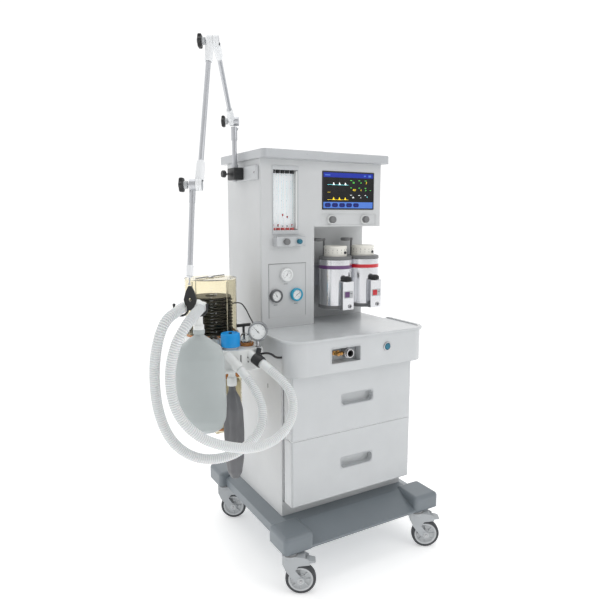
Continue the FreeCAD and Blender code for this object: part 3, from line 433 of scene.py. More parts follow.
HOSE_ONE = [
    (-343, 12.5, 738.2), (-322, -34, 714), (-297, -88, 672), (-309, -130, 619), (-363, -160, 570),
    (-454, -180, 556), (-551, -196, 588), (-628.5, -198.8, 631.2), (-678.2, -184, 697.6),
    (-691.4, -176.3, 784.6), (-676.7, -184.9, 870.7), (-643.4, -185.6, 922.1), (-599.9, -139.1, 943),
    (-562.2, -73.8, 943),
]
HOSE_TWO = [
    (-409.5, 26, 724), (-392, -20, 688), (-381, -70, 631), (-402, -102, 577), (-460, -121, 541),
    (-529, -135, 529), (-610, -138, 544), (-675.7, -132.3, 600), (-708.4, -127.3, 690.4),
    (-717.4, -138.2, 797), (-707.7, -148.5, 880.3), (-682.9, -139.7, 929.4), (-641.2, -110.6, 943),
    (-605.5, -48.8, 943),
]
PRESSURE_LINE = [(-373.5, 162.4, 905.3), (-359, 139, 914), (-348, 118, 896), (-338, 102, 862),
                 (-326, 88, 834)]
FRESH_GAS_LINE = [(-339.9, 41.6, 757.5), (-330, 30, 765), (-308, 18, 763), (-291, 17, 746), (-272.3, 17, 746)]


CURVE_STEPS = 24
RING_SPACING_M = 0.0012


def spline(name, route):
    """A smooth curve whose control points are the route's points."""
    curve = bpy.data.curves.new(name, "CURVE")
    curve.dimensions = "3D"
    line = curve.splines.new("NURBS")
    line.points.add(len(route) - 1)
    for point, place in zip(line.points, route):
        point.co = (*spot(*place), 1)
    line.order_u = 3
    line.use_endpoint_u = True
    curve.resolution_u = CURVE_STEPS
    obj = bpy.data.objects.new(name, curve)
    bpy.context.collection.objects.link(obj)
    return obj


def centreline(route, spacing):
    """Evenly spaced places along the route's smooth curve, in metres."""
    holder = spline("route", route)
    bpy.context.view_layer.update()
    mesh = bpy.data.meshes.new_from_object(holder.evaluated_get(bpy.context.evaluated_depsgraph_get()))
    points = np.array([v.co[:] for v in mesh.vertices])
    bpy.data.objects.remove(holder)
    bpy.data.meshes.remove(mesh)
    gone = np.concatenate([[0], np.cumsum(np.linalg.norm(np.diff(points, axis=0), axis=1))])
    count = max(8, round(gone[-1] / spacing))
    marks = np.linspace(0, gone[-1], count + 1)
    return np.stack([np.interp(marks, gone, points[:, i]) for i in range(3)], axis=1), gone[-1]


# A breathing hose's ridges: their spacing and depth, and how far the tube's skin is inside its size.
RIB_PITCH = 6.0
RIB_DEPTH = 2.1
SKIN = 0.2
# How much of each ridge's valley gets the darker grey that is painted shade.
GROOVE_SHADE_SHARE = 0.42


def corrugated_hose(name, node, route, diameter=28.0, pitch=RIB_PITCH, cuff=34.0):
    """A breathing hose: fine ridges all along it and a smooth cuff at each end; its valleys take a darker
    grey, painted shade in the creases.
    """
    line, length = centreline(route, RING_SPACING_M)
    total = len(line)
    bm = bmesh.new()
    around = 28
    tangent = Vector(line[1] - line[0]).normalized()
    side = tangent.orthogonal().normalized()
    rings, shaded_valleys = [], []
    for i, point in enumerate(line):
        ahead = Vector(line[min(i + 1, total - 1)] - line[max(i - 1, 0)]).normalized()
        side = (side - ahead * side.dot(ahead)).normalized()
        other = ahead.cross(side)
        gone = length * 1000 * i / (total - 1)
        end = min(gone, length * 1000 - gone)
        wave = 0.5 + 0.5 * math.cos(math.tau * gone / pitch)
        radius = diameter / 2 - SKIN - RIB_DEPTH * (1 - wave) if end > cuff else diameter / 2 - 0.15
        if end < 1.5:
            radius -= 0.8
        shaded_valleys.append(end > cuff and wave < GROOVE_SHADE_SHARE)
        ring = []
        for j in range(around):
            angle = math.tau * j / around
            out = side * math.cos(angle) + other * math.sin(angle)
            ring.append(bm.verts.new(Vector(point) + out * radius / 1000))
        rings.append(ring)
    for low, high, deep in zip(rings, rings[1:], shaded_valleys):
        for j in range(around):
            k = (j + 1) % around
            bm.faces.new((low[j], low[k], high[k], high[j])).material_index = int(deep)
    bm.faces.new(rings[0][::-1])
    bm.faces.new(rings[-1])
    mat = surface("hose_plastic", (226, 229, 229), rough=0.36, grain=300, bump=0.03, mottle=0.02)
    # The valley faces take a darker grey: painted shade in the creases between the ridges.
    groove_shade = surface("hose_groove", (203, 206, 208), rough=0.5, grain=300, bump=0.03, mottle=0.02)
    mat.node_tree.nodes["Principled BSDF"].inputs["Subsurface Weight"].default_value = 0.05
    mat.node_tree.nodes["Principled BSDF"].inputs["Subsurface Scale"].default_value = 0.01
    hose = finish_mesh(name, bm, [mat, groove_shade], "machine", sharp=80)
    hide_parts(node)
    return hose


def thin_line(name, route, diameter):
    """A thin black gas line, held at both ends."""
    line = spline(name, route)
    line.data.bevel_depth = diameter / 2000
    line.data.bevel_resolution = 4
    line.data.materials.append(surface("line_rubber", (34, 34, 36), rough=0.45, grain=500, bump=0.05))
    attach(line, "machine")
    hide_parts("gas_lines")
    _, length = centreline(route, 0.002)


def hoses():
    corrugated_hose("hose_front", "hose_inspiratory", HOSE_ONE)
    corrugated_hose("hose_rear", "hose_expiratory", HOSE_TWO)
    thin_line("pressure_sampling_line", PRESSURE_LINE, 4.0)
    thin_line("fresh_gas_line", FRESH_GAS_LINE, 7.0)


# ---------------------------------------------------------------- casters


LIP = (243.5, 249)
WHEELS = ["front_left", "front_right", "back_left", "back_right"]


def casters():
    """Twin-coloured wheels: grey tyre, pale rim with ribs and a capped axle."""
    for name in WHEELS:
        place, axis = pivot("roll_" + name)
        turn = at(place, axis)
        bm = bmesh.new()
        tread = [(39, -11), (43, -12.6), (47, -11.6), (48.6, -8.5), (49, -4), (49, 4), (48.6, 8.5),
                 (47, 11.6),
                 (43, 12.6), (39, 11)]
        add_lathe(bm, tread, turn, 0, 96)
        rim = [(4.2, -13.6), (12, -13.6), (13.5, -12.2), (14.5, -8), (16, -6), (28, -5.2), (31, -6.6),
               (34, -11),
               (39.4, -11.4), (39.4, 11.4), (34, 11), (31, 6.6), (28, 5.2), (16, 6), (14.5, 8), (13.5, 12.2),
               (12, 13.6), (4.2, 13.6)]
        add_lathe(bm, rim, turn, 1, 96)
        for i in range(8):
            for face in (-1, 1):
                spoke = turn @ Matrix.Rotation(math.tau * i / 8, 4, "Z")
                add_block(bm, (14, -1.6, face * 7.2 - 2.4), (32, 1.6, face * 7.2 + 2.4), spoke, 1, 1.0, 2)
        finish_mesh("wheel_" + name, bm, [tyre_rubber(), light_plastic()], "caster_wheel_" + name,
                    stands_for="caster_wheel_" + name)
        bm = bmesh.new()
        for face in (-1, 1):
            cap = at(place + axis * face * 0.0205, axis * face)
            add_lathe(bm, [(0, 0), (11, 0), (11, 1.2), (9.8, 2.2), (6.4, 2.4), (5.6, 1.6), (0, 1.6)], cap, 0,
                      32)
            add_lathe(bm, [(0, 1.4), (4.3, 1.4), (4.3, 3.6), (3.4, 4.2), (0, 4.2)], cap, 1, 6)
        finish_mesh("axle_caps_" + name, bm, [light_plastic(), steel()], "caster_fork_" + name)
        swivel, _ = pivot("swivel_" + name)
        bm = bmesh.new()
        ring = [(17, -1.2), (25.4, -1.2), (26, -0.6), (26, -4.8), (25, -6.2), (17, -6.2)]
        add_lathe(bm, ring, at(swivel), 0, 56)
        finish_mesh("swivel_race_" + name, bm, grey_plastic(), "caster_fork_" + name)


# ---------------------------------------------------------------- front panels


SILVER_RING = [(11.4, 3.2), (12.2, 4.2), (14.2, 4.2), (15.4, 3), (15.6, 0.2), (11.4, 0.2)]


def outlet_recess():
    """The worktop's recess: dark floor plate, brass tail, and the outlet whose bore is lined in black,
    painted shade down the hole.
    """
    bm = bmesh.new()
    back = Matrix.Translation(spot(-67.5, -14.2, 742))
    add_block(bm, (-55, 0.2, -23), (55, 2, 23), back, 0, 0.6)
    finish_mesh("outlet_back_plate", bm, caster_plastic(), "machine")
    bm = bmesh.new()
    frame_turn = at(spot(-67.5, -42, 742), (0, -1, 0))
    outer, inner = oblong(117, 54, 5), oblong(111, 48, 3)
    ring = [[bm.verts.new(frame_turn @ Vector((x / 1000, y / 1000, z / 1000))) for x, y in line]
            for line, z in ((outer, 0.1), (outer, 1.1), (inner, 1.1), (inner, -2))]
    for low, high in zip(ring, ring[1:]):
        for i in range(len(low)):
            j = (i + 1) % len(low)
            bm.faces.new((low[i], low[j], high[j], high[i]))
    finish_mesh("outlet_frame", bm, light_plastic(), "machine")
    bm = bmesh.new()
    for x, tip in ((-98, 30), (-84, 26)):
        turn = at(spot(x, -14, 746), (0, -1, 0))
        barbs = [(0, 0), (6.5, 0), (6.5, 6), (4.2, 7)]
        for i in range(4):
            barbs += [(5.8, 9 + 4 * i), (4.4, 12 + 4 * i)]
        barbs += [(4.4, tip), (2.4, tip), (2.4, tip - 8), (0, tip - 8)]
        add_lathe(bm, barbs, turn, 0, 32)
        add_lathe(bm, [(0, 0.5), (8, 0.5), (8, 4.8), (0, 4.8)], turn, 0, 6)
    tail = finish_mesh("brass_tails", bm, brass(), "machine")
    bm = bmesh.new()
    turn = at(spot(-56, -42, 746), (0, -1, 0))
    add_lathe(bm, [(11.05, -26), (16.6, -26), (16.9, -4), (16.2, -2.4), (14.6, -2), (14.6, 6.4), (13.8, 7.6),
                   (11.6, 7.6), (11.05, 7), (11.05, -26)], turn, 0, 64)
    # The bore's black lining is painted shade inside the outlet.
    add_lathe(bm, [(10.9, 4), (8.2, 4.4), (7.6, -16), (0, -16)], turn, 1, 48)
    outlet = finish_mesh("gas_outlet_collar", bm, [steel(), dark_plastic()], "machine")
    button = at(spot(98, -42, 751), (0, -1, 0))
    bm = bmesh.new()
    add_lathe(bm, SILVER_RING, button, 0, 64)
    bezel = finish_mesh("flush_ring", bm, steel(), "machine")
    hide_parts("outlet_fittings")
    bm = bmesh.new()
    add_lathe(bm, [(0, -20), (10.8, -20), (10.8, 3.4), (10, 4.6), (8.6, 5.1), (7.8, 4.6), (0, 4.9)], button,
              0, 48)
    finish_mesh("flush_button_cap", bm, teal(), "flush_button",
                stands_for="flush_button")


def handle_rims():
    """A thin grey rim round each drawer's grip recess, darker than the drawer as painted shade at the recess
    edge.
    """
    for name in ("drawer_upper", "drawer_lower"):
        middle = (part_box(name)[0][2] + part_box(name)[1][2]) * 500
        turn = at(spot(10, 0, middle), (0, -1, 0))
        outer, inner = oblong(135, 43, 9), oblong(128, 36, 6)
        bm = bmesh.new()
        ring = [[bm.verts.new(turn @ Vector((x / 1000, y / 1000, z / 1000))) for x, y in line]
                for line, z in ((outer, -0.2), (outer, 0.7), (inner, 0.9), (inner, -4))]
        for low, high in zip(ring, ring[1:]):
            for i in range(len(low)):
                j = (i + 1) % len(low)
                bm.faces.new((low[i], low[j], high[j], high[i]))
        # The rim's darker grey is painted shade along the recess edge.
        finish_mesh(name + "_rim", bm,
                    surface("rim_painted_shade", (182, 185, 188), rough=0.35, grain=500, bump=0.04), name)


def round_knob(name, node, body, mat, radius, length, rings=28, skirt=None):
    """A knurled turn knob on a joint that points out of the front."""
    place, _ = pivot(body)
    base = Vector((place.x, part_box(node)[0][1], place.z))
    turn = at(base, (0, 1, 0))
    bm = bmesh.new()
    add_lathe(bm, [(0, 0.4), (radius * 0.72, 0), (radius * 0.9, 0.8), (radius, 2.4), (radius, length - 1.5),
                   (radius * 0.94, length), (0, length)], turn, 0, 112, (rings, 0.05, radius * 0.95))
    if skirt:
        depth = (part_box(node)[1][1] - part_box(node)[0][1]) * 1000
        add_lathe(bm, [(radius * 0.8, length - 2), (skirt - 2.5, length - 1), (skirt, length + 1.5),
                       (skirt, depth - 9.6),
                       (0, depth - 9.6)], turn, 1, 72)
    knob = finish_mesh(name, bm, [mat, white_plastic()], node)
    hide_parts(node)
    return knob


def knobs():
    for side in ("left", "right"):
        node = "display_knob_" + side
        round_knob(node + "_cap", node, "display_turn_" + side, grey_plastic(), 12.5, 15, 36, 16)
    round_knob("flow_knob_air_cap", "flow_knob_air", "flow_air", grey_plastic(), 11, 13, 18)
    round_knob("flow_knob_oxygen_cap", "flow_knob_oxygen", "flow_oxygen", teal(), 9, 13, 12)


GAUGES = ((-154, 983, "white_rim", (236, 238, 238)), (-194, 912, "dark_rim", (92, 95, 98)),
          (-114, 912, "teal_rim", (16, 160, 196)))


SCALE_START = 225
SCALE_SWEEP = 270


def add_gauge(bm, turn, radius, depth, first_mat, needle_angle, major=9):
    """A gauge: rim, sunken face, scale marks and a needle.  Local Z comes out of the face."""
    rim, face, mark, glass = first_mat, first_mat + 1, first_mat + 2, first_mat + 3
    add_lathe(bm, [(0, 0), (radius, 0), (radius, depth - 2.2), (radius - 1.2, depth - 0.6),
                   (radius - 3.4, depth),
                   (radius - 5.4, depth - 0.8), (radius - 6, depth - 3.6), (radius - 6.2, depth - 4.2)], turn,
                   rim, 72)
    add_lathe(bm, [(0, depth - 4.2), (radius - 5.8, depth - 4.2)], turn, face, 72)
    edge = radius - 7.4
    for i in range(5 * (major - 1) + 1):
        angle = math.radians(SCALE_START - SCALE_SWEEP * i / (5 * (major - 1)))
        long_mark = 2.6 if i % 5 == 0 else 1.3
        spin = turn @ Matrix.Rotation(angle, 4, "Z")
        wide = 0.28 if i % 5 == 0 else 0.16
        add_block(bm, (edge - long_mark, -wide, depth - 4.2), (edge, wide, depth - 4), spin, mark)
    for i in range(0, major, 2):
        angle = math.radians(SCALE_START - SCALE_SWEEP * i / (major - 1))
        where = Vector((math.cos(angle), math.sin(angle), 0)) * (edge - 5.2) / 1000
        where.z = (depth - 4.1) / 1000
        add_text(bm, str(i), radius * 0.13, turn @ Matrix.Translation(where), mark, 0.06)
    spin = turn @ Matrix.Rotation(math.radians(needle_angle), 4, "Z")
    add_outline(bm, [(-edge * 0.3, -0.9), (-edge * 0.3, 0.9), (edge - 2, 0.18), (edge - 2, -0.18)], 0.3,
                spin @ Matrix.Translation((0, 0, (depth - 3.4) / 1000)), mark)
    add_lathe(bm, [(0, depth - 4.1), (1.9, depth - 4.1), (1.9, depth - 2.7), (1.3, depth - 2.3),
                   (0, depth - 2.3)],
              turn, glass, 24)


def gauges():
    """Three supply gauges with coloured rims, numbers and needles."""
    for i, (x, z, name, colour) in enumerate(GAUGES):
        bm = bmesh.new()
        turn = at(spot(x, 205, z), (0, -1, 0))
        add_gauge(bm, turn, 22.8, 13.6, 0, (62, 118, 40)[i])
        rim = surface(name, colour, rough=0.3, grain=500, bump=0.03, coat=0.2)
        finish_mesh("supply_gauge_" + name, bm, [rim, dial_face(), ink(), steel()], "machine",
                    stands_for="gauge_cases")


def panel_lines():
    """Thin dark frame of the gauge panel and small marks under the gauges."""
    bm = bmesh.new()
    y = 204.8
    for low, high in (((-221.6, y - 2.2, 1021.4), (-74.4, y - 1.4, 1022.8)),
                      ((-221.8, y - 2.2, 835.4), (-220.4, y - 1.4, 1022.8))):
        add_block(bm, low, high, MACHINE, 0)
    for x, z in ((-194, 880), (-114, 880), (-154, 951)):
        for dx in (-6, -2.6, 1.2, 5):
            add_block(bm, (x + dx - 1.2, y - 0.3, z - 1), (x + dx + 1.2, y + 0.3, z + 1), MACHINE, 0)
    finish_mesh("panel_marks", bm, surface("panel_ink", (92, 95, 98), rough=0.5), "machine")


# ---------------------------------------------------------------- flowmeter


FLOW_TUBES = [-196, -178, -160, -142, -124]


def flowmeter():
    """Glass tubes before a printed white plate, with knurled caps, floats and red feet; the plate glows
    faintly, painted light that keeps it bright.
    """
    bm = bmesh.new()
    add_block(bm, (-201.8, 229, 1136.2), (-108.2, 228.2, 1336.8), MACHINE, 0)
    # The plate's glow is painted light, not a lamp.
    finish_mesh("flow_back_plate", bm, surface("flow_plate_painted_glow", (246, 249, 251), rough=0.4, glow=0.3), "machine")
    bm = bmesh.new()
    for column, x in enumerate(FLOW_TUBES):
        for i in range(33):
            z = 1150 + 5.3 * i
            wide = 2.6 if i % 4 == 0 else 1.4
            add_block(bm, (x + 5.7, 208.6, z - 0.3), (x + 5.7 + wide, 208.9, z + 0.3), MACHINE, 0)
            if i % 4 == 0:
                turn = at(spot(x + 11, 208.8, z), (0, -1, 0))
                add_text(bm, str(i // 4 + column), 3.4, turn, 0, 0.05)
    finish_mesh("flow_scales", bm, surface("flow_ink", (70, 60, 74), rough=0.5), "machine")
    bm = bmesh.new()
    for x in FLOW_TUBES:
        top = Matrix.Translation(spot(x, 215, 1326))
        add_lathe(bm, [(0, 0), (6.2, 0), (7.6, 1.5), (7.6, 12), (6, 13.5), (0, 13.5)], top, 0, 60,
                  (15, 0.07, 7))
    finish_mesh("flow_tube_caps", bm, dark_plastic(), "machine")
    bm = bmesh.new()
    for x, level in zip(FLOW_TUBES, (1147, 1147, 1182, 1175, 1147)):
        foot = Matrix.Translation(spot(x, 215, 1135))
        add_lathe(bm, [(0, 0), (7.2, 0), (7.2, 7), (5.6, 9), (0, 9)], foot, 0, 40)
        bob = Matrix.Translation(spot(x, 215, level))
        add_lathe(bm, [(0, 0), (2.2, 2.2), (2.7, 5), (2.7, 8.2), (2.2, 9), (0, 9)], bob, 0, 24)
    finish_mesh("flow_tube_feet", bm, surface("flow_red", (190, 74, 70), rough=0.3, coat=0.3), "machine")
    bm = bmesh.new()
    add_block(bm, (-114, 203.5, 1138), (-106.5, 227, 1335), MACHINE, 0, 1.5)
    finish_mesh("flow_light_strip", bm, white_plastic(), "machine")


# ---------------------------------------------------------------- screen


def glow(name, colour, strength=0.75):
    return surface(name, colour, rough=0.25, grain=200, bump=0.0, mottle=0.05, glow=strength)


def screen():
    """The monitor's picture: bars, waves, numbers and buttons, each a thin flat shape on the glass."""
    left, right, low, high = -6, 213, 1209, 1337
    face = at(spot((left + right) / 2, 201.9, (low + high) / 2), (0, -1, 0))
    wide, tall = right - left, high - low

    def block(bm, x0, y0, x1, y1, mat, lift=0.2):
        add_block(bm, (x0 - wide / 2, y0 - tall / 2, lift), (x1 - wide / 2, y1 - tall / 2, lift + 0.1), face,
                  mat)

    def text(bm, words, x, y, size, mat):
        where = face @ Matrix.Translation(((x - wide / 2) / 1000, (y - tall / 2) / 1000, 0.0004))
        add_text(bm, words, size, where, mat, 0.05)

    mats = [
        glow("screen_black", (7, 8, 10), 0.1), glow("screen_blue", (16, 40, 150), 0.3),
        glow("screen_bar", (72, 112, 190), 0.4), glow("screen_button", (14, 26, 96), 0.2),
        glow("screen_white", (236, 240, 240), 1.0), glow("screen_yellow", (236, 206, 40), 1.0),
        glow("screen_green", (96, 214, 90), 1.0), glow("screen_cyan", (120, 226, 232), 1.0),
    ]
    bm = bmesh.new()
    block(bm, 0, 0, wide, tall, 0, 0.0)
    block(bm, 2, 110, wide - 2, tall - 2, 1)
    block(bm, 2, 2, wide - 2, 24, 2)
    for i in range(5):
        middle = face @ Matrix.Translation(((20 + 30.5 * i - wide / 2) / 1000, (13 - tall / 2) / 1000,
                                            0.0003))
        add_outline(bm, oblong(25, 14.5, 6.5), 0.15, middle, 3)
        add_outline(bm, oblong(8, 2, 0.9), 0.1, middle @ Matrix.Translation((0, 0, 0.0002)), 1)
    for row, colour in ((84, 7), (32, 5)):
        block(bm, 18, row - 0.4, 108, row + 0.4, colour, 0.3)
        for i in range(3):
            start = 44 + 25 * i
            peak = face @ Matrix.Translation(((start - wide / 2) / 1000, (row - tall / 2) / 1000, 0.0003))
            add_outline(bm, [(-5, 0), (-2.5, 1.4), (-0.5, 8.5), (1.5, 7.5), (3, 2.6), (7, 0)], 0.1, peak,
                        4 if row > 50 else 5)
    block(bm, 18, 57.5, 30, 58.2, 5, 0.3)
    for words, x, y, size, mat in (("24", 133, 93, 15, 6), ("38", 166, 93, 9, 6), ("5", 190, 93, 17, 5),
                                   ("420", 137, 67, 15, 5), ("12", 166, 67, 9, 5), ("6", 188, 67, 14, 6),
                                   ("98", 132, 40, 13, 4), ("71", 166, 40, 9, 4), ("18", 194, 43, 9, 7),
                                   ("0.8", 208, 67, 7, 6)):
        text(bm, words, x - 3, y, size * 0.6, mat)
    for x in (114, 150, 178):
        for y in (100, 74, 48):
            block(bm, x + 2, y, x + 9, y + 1.4, 4 if y < 60 else 6, 0.3)
    block(bm, 8, 116, 30, 119, 2, 0.3)
    block(bm, 196, 114, 208, 121, 2, 0.3)
    block(bm, 176, 115, 184, 120, 2, 0.3)
    finish_mesh("screen_picture", bm, mats, "machine")


# ---------------------------------------------------------------- vaporizers


VAPORIZERS = {"left": (68, (104, 66, 118)), "right": (191, (206, 30, 44))}
VAPOR_Y = 232


def ring_profile(radius, low, high, thick):
    return [(radius, low), (radius + thick, low + 0.6), (radius + thick, high - 0.6), (radius, high)]


def vaporizers():
    """Silver flasks with a dark shoulder, a coloured band, a filler block and a pale dial."""
    silver = surface("brushed_flask", (226, 227, 230), rough=0.2, metal=0.95, mottle=0.02, grain=420,
                     bump=0.03, wear=0.03,
                     stretch=(1, 1, 0.03))
    for side, (x, colour) in VAPORIZERS.items():
        band = surface("band_" + side, colour, rough=0.3, grain=400, bump=0.02, coat=0.3)
        stand = Matrix.Translation(spot(x, VAPOR_Y, 0))
        bm = bmesh.new()
        add_lathe(bm, ring_profile(60.6, 994, 1007, 0.5), stand, 1, 112)
        add_lathe(bm, [(58.2, 1027), (60.8, 1027.4), (60.8, 1036), (58.4, 1038.6), (46, 1038.6)], stand, 2,
                  112)
        add_lathe(bm, ring_profile(60.6, 850, 862, 0.5), stand, 2, 112)
        finish_mesh("flask_bands_" + side, bm, [silver, band, grey_plastic()], "machine")

        bm = bmesh.new()
        front = at(spot(x + 2, VAPOR_Y - 86.2, 0), (0, -1, 0))
        add_outline(bm, oblong(38, 26, 3), 0.8, front @ Matrix.Translation((0, 0.905, 0)), 0, 0.2)
        add_outline(bm, oblong(20, 20, 2), 0.9, front @ Matrix.Translation((-0.006, 0.905, 0.0003)), 1, 0.2)
        add_outline(bm, oblong(9, 2, 0.9), 0.9, front @ Matrix.Translation((0.011, 0.908, 0.0002)), 2)
        add_lathe(bm, [(4.2, 0), (7.4, 0), (7.4, 2.2), (6.4, 3), (4.8, 3), (4.2, 2.2)],
                  front @ Matrix.Translation((0.006, 0.862, 0)), 3, 40)
        finish_mesh("filler_labels_" + side, bm, [light_plastic(), band, ink(), steel()], "machine")

        node = "vaporizer_dial_" + side
        bm = bmesh.new()
        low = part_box(node)[0][2] * 1000
        add_lathe(bm, [(0, low), (42.2, low), (42.8, low + 1), (42.8, low + 6), (41.6, low + 7), (41.6, 1068),
                       (42.6, 1069), (42.6, 1073), (40.8, 1075.6), (36, 1076), (34.5, 1074.4), (0, 1074)],
                  stand, 0, 180, (60, 0.014, 41.9))
        for i in range(11):
            angle = math.radians(180 + 22 * i)
            out = Vector((math.cos(angle), math.sin(angle), 0))
            face = at(spot(x, VAPOR_Y, 1061) + out * 0.0417, out)
            add_text(bm, str(i % 6), 6.5, face, 1, 0.25)
            add_block(bm, (-0.35, -11, -0.1), (0.35, -6.5, 0.3), face, 1)
        add_lathe(bm, [(0, -1), (5, -1), (5, 3), (4, 4), (0, 4)],
                  at(spot(x, VAPOR_Y, 1052) + Vector((0.38, -0.925, 0)) * 0.0416, (0.38, -0.925, 0)), 1, 24)
        finish_mesh(node + "_cap", bm, [cream(), ink()], node, stands_for=node)

        node = "filler_screw_" + side
        place, _ = pivot("filler_" + side)
        bm = bmesh.new()
        add_lathe(bm, [(0, 0.4), (15, 0.4), (16.5, 2), (16.5, 11), (14, 14.5), (8, 17.6), (0, 18)],
                  Matrix.Translation(place), 0, 72, (12, 0.12, 13))
        finish_mesh(node + "_knob", bm, dark_plastic(), node, stands_for=node)

        node = "lock_lever_" + side
        place, _ = pivot("lock_" + side)
        shaft = Vector((place.x, place.y, 0))
        bm = bmesh.new()
        add_rod(bm, shaft + UP * 1.0285, shaft + UP * 1.100, 3.9, 0)
        add_block(bm, (-30, -4.5, 1093), (4.5, 4.5, 1102), Matrix.Translation(shaft), 0, 2.2)
        add_lathe(bm, [(0, 1091.5), (15, 1091.5), (17.5, 1094), (17.5, 1100), (15, 1103), (0, 1103.4)],
                  Matrix.Translation(shaft + Vector((-0.028, 0, 0))), 0, 48)
        finish_mesh(node + "_arm", bm, grey_plastic(), node, stands_for=node)


# ---------------------------------------------------------------- absorber


VALVES = [(-460, 112), (-350, 112)]
BLOCK_TOP = 776


def absorber():
    """What stands on the absorber block: valve seats and discs, ports and the blue cap."""
    bm = bmesh.new()
    for x, y in VALVES:
        base = Matrix.Translation(spot(x, y, BLOCK_TOP))
        add_lathe(bm, [(19, 0.2), (23.5, 0.2), (24.5, 1.6), (24.5, 9), (22.6, 11.4), (19.4, 11.4),
                       (19.3, 0.2)], base, 0, 72,
                  (24, 0.03, 24))
    finish_mesh("valve_seats", bm, amber(), "machine")
    bm = bmesh.new()
    for x, y in VALVES:
        base = Matrix.Translation(spot(x, y, BLOCK_TOP))
        add_lathe(bm, [(0, 13), (13, 13), (13.4, 13.6), (13.4, 15.4), (0, 15.6)], base, 0, 48)
        for i in range(4):
            spin = base @ Matrix.Rotation(math.tau * i / 4 + 0.5, 4, "Z")
            add_block(bm, (12, -0.8, 4.4), (13.8, 0.8, 27), spin, 0, 0.4)
    finish_mesh("valve_discs", bm, white_plastic(), "machine")

    bm = bmesh.new()
    cap = Matrix.Translation(spot(-412, 92, 783.4))
    add_lathe(bm, [(0, 0), (28.6, 0), (29.6, 1), (29.8, 3), (29.8, 39), (28.6, 41.4), (25.6, 42.6),
                   (21.6, 42.6),
                   (20.8, 40.6), (0, 40)], cap, 0, 144, (36, 0.012, 29))
    add_lathe(bm, [(0, 39.8), (5.4, 39.8), (5.4, 43), (4.6, 43.6), (0, 43.6)], cap, 1, 24)
    finish_mesh("relief_cap_knob", bm, [blue(), dark_plastic()], "relief_cap",
                stands_for="relief_cap")

    bm = bmesh.new()
    add_block(bm, (-500, 60, 705), (-322, 320, 716), MACHINE, 0, 4)
    add_block(bm, (-398, 47.2, 728), (-395, 50.4, 762), MACHINE, 1, 0.6)
    add_lathe(bm, [(0, 0), (3.2, 0), (3.2, 1.6), (2.4, 2.4), (0, 2.4)], at(spot(-372, 49.8, 752), (0, -1, 0)),
              1, 24)
    add_lathe(bm, [(0, 0), (2.4, 0), (2.4, 1.2), (0, 1.6)], at(spot(-372, 49.8, 738), (0, -1, 0)), 1, 24)
    finish_mesh("absorber_trim", bm, [white_plastic(), grey_plastic()], "machine")

    start = spot(*HOSE_ONE[0])
    ahead = (spot(*HOSE_ONE[1]) - start).normalized()
    bm = bmesh.new()
    add_lathe(bm, [(13.6, -32), (17.5, -32), (18.4, -30), (18.4, -4), (17.6, -1.2), (14.4, -0.6)],
              at(start, ahead), 0, 64)
    add_rod(bm, start - ahead * 0.022, start - ahead * 0.022 + Vector((0.012, 0.008, 0.032)), 7.5, 0, 32)
    finish_mesh("port_elbow", bm, dark_plastic(), "machine")
    start = spot(*HOSE_TWO[0])
    ahead = (spot(*HOSE_TWO[1]) - start).normalized()
    bm = bmesh.new()
    add_lathe(bm, [(13.6, -24), (15.4, -24), (15.8, -22), (15.8, -3), (15.2, -1), (14.2, -0.6)],
              at(start, ahead), 0, 64)
    finish_mesh("port_collar", bm, white_plastic(), "machine")


def bellows():
    """Clear amber dome with its rim, tie rods and scale, over black folded bellows."""
    centre = (-418, 235)
    low = 800
    bm = bmesh.new()
    folds, bottom, top = 11, 802, 918.5
    pitch = (top - bottom) / folds
    profile = [(0, bottom), (56, bottom)]
    for i in range(folds):
        z = bottom + i * pitch
        profile += [(58, z), (66, z + 0.25 * pitch), (70, z + 0.42 * pitch), (70.4, z + 0.5 * pitch),
                    (70, z + 0.58 * pitch),
                    (66, z + 0.75 * pitch), (58, z + pitch)]
    profile += [(0, top)]
    add_lathe(bm, profile, Matrix.Translation(spot(*centre, 0)), 0, 96)
    folded = finish_mesh("bellows_folds", bm,
                         surface("bellows_rubber", (52, 54, 52), rough=0.5, grain=300, bump=0.08),
                         "machine", sharp=70)
    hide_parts("bellows")
    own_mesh(folded)

    bm = bmesh.new()
    stand = Matrix.Translation(spot(*centre, 0))
    add_lathe(bm, [(84.2, low), (88.6, low), (88.6, low + 4.5), (86.5, low + 6), (84.4, low + 6)], stand, 0,
              112)
    finish_mesh("dome_rim", bm, amber(), "machine")
    bm = bmesh.new()
    tall = Vector((0, 0, 0.184))
    for i in range(4):
        angle = math.radians(20 + 90 * i)
        foot = spot(centre[0] + 76.5 * math.cos(angle), centre[1] + 76.5 * math.sin(angle), low + 0.5)
        add_rod(bm, foot, foot + tall * 0.96, 1.6, 0, 12)
    add_rod(bm, spot(centre[0] - 62, centre[1] - 30, 988), spot(centre[0] + 62, centre[1] + 34, 988), 2.2, 0,
            16)
    add_lathe(bm, [(0, 985.2), (12, 985.2), (12, 988), (9, 990.4), (0, 990.8)], stand, 0, 40)
    finish_mesh("dome_rods", bm, steel(), "machine")
    bm = bmesh.new()
    for i in range(15):
        z = 820 + 10 * i
        angle = math.radians(250)
        out = Vector((math.cos(angle), math.sin(angle), 0))
        face = at(spot(centre[0], centre[1], z) + out * 0.0842, out)
        add_block(bm, (-3 if i % 2 else -5, -0.35, 0), (3 if i % 2 else 5, 0.35, 0.25), face, 0)
        if i % 3 == 0:
            mark = at(spot(centre[0], centre[1],
                           z) + Vector((math.cos(angle + 0.16), math.sin(angle + 0.16), 0)) * 0.0842,
                      (math.cos(angle + 0.16), math.sin(angle + 0.16), 0))
            add_text(bm, str(i), 7.5, mark, 0, 0.12)
    finish_mesh("dome_scale", bm, white_plastic(), "machine")


CANISTER_AT = (-405, 160)


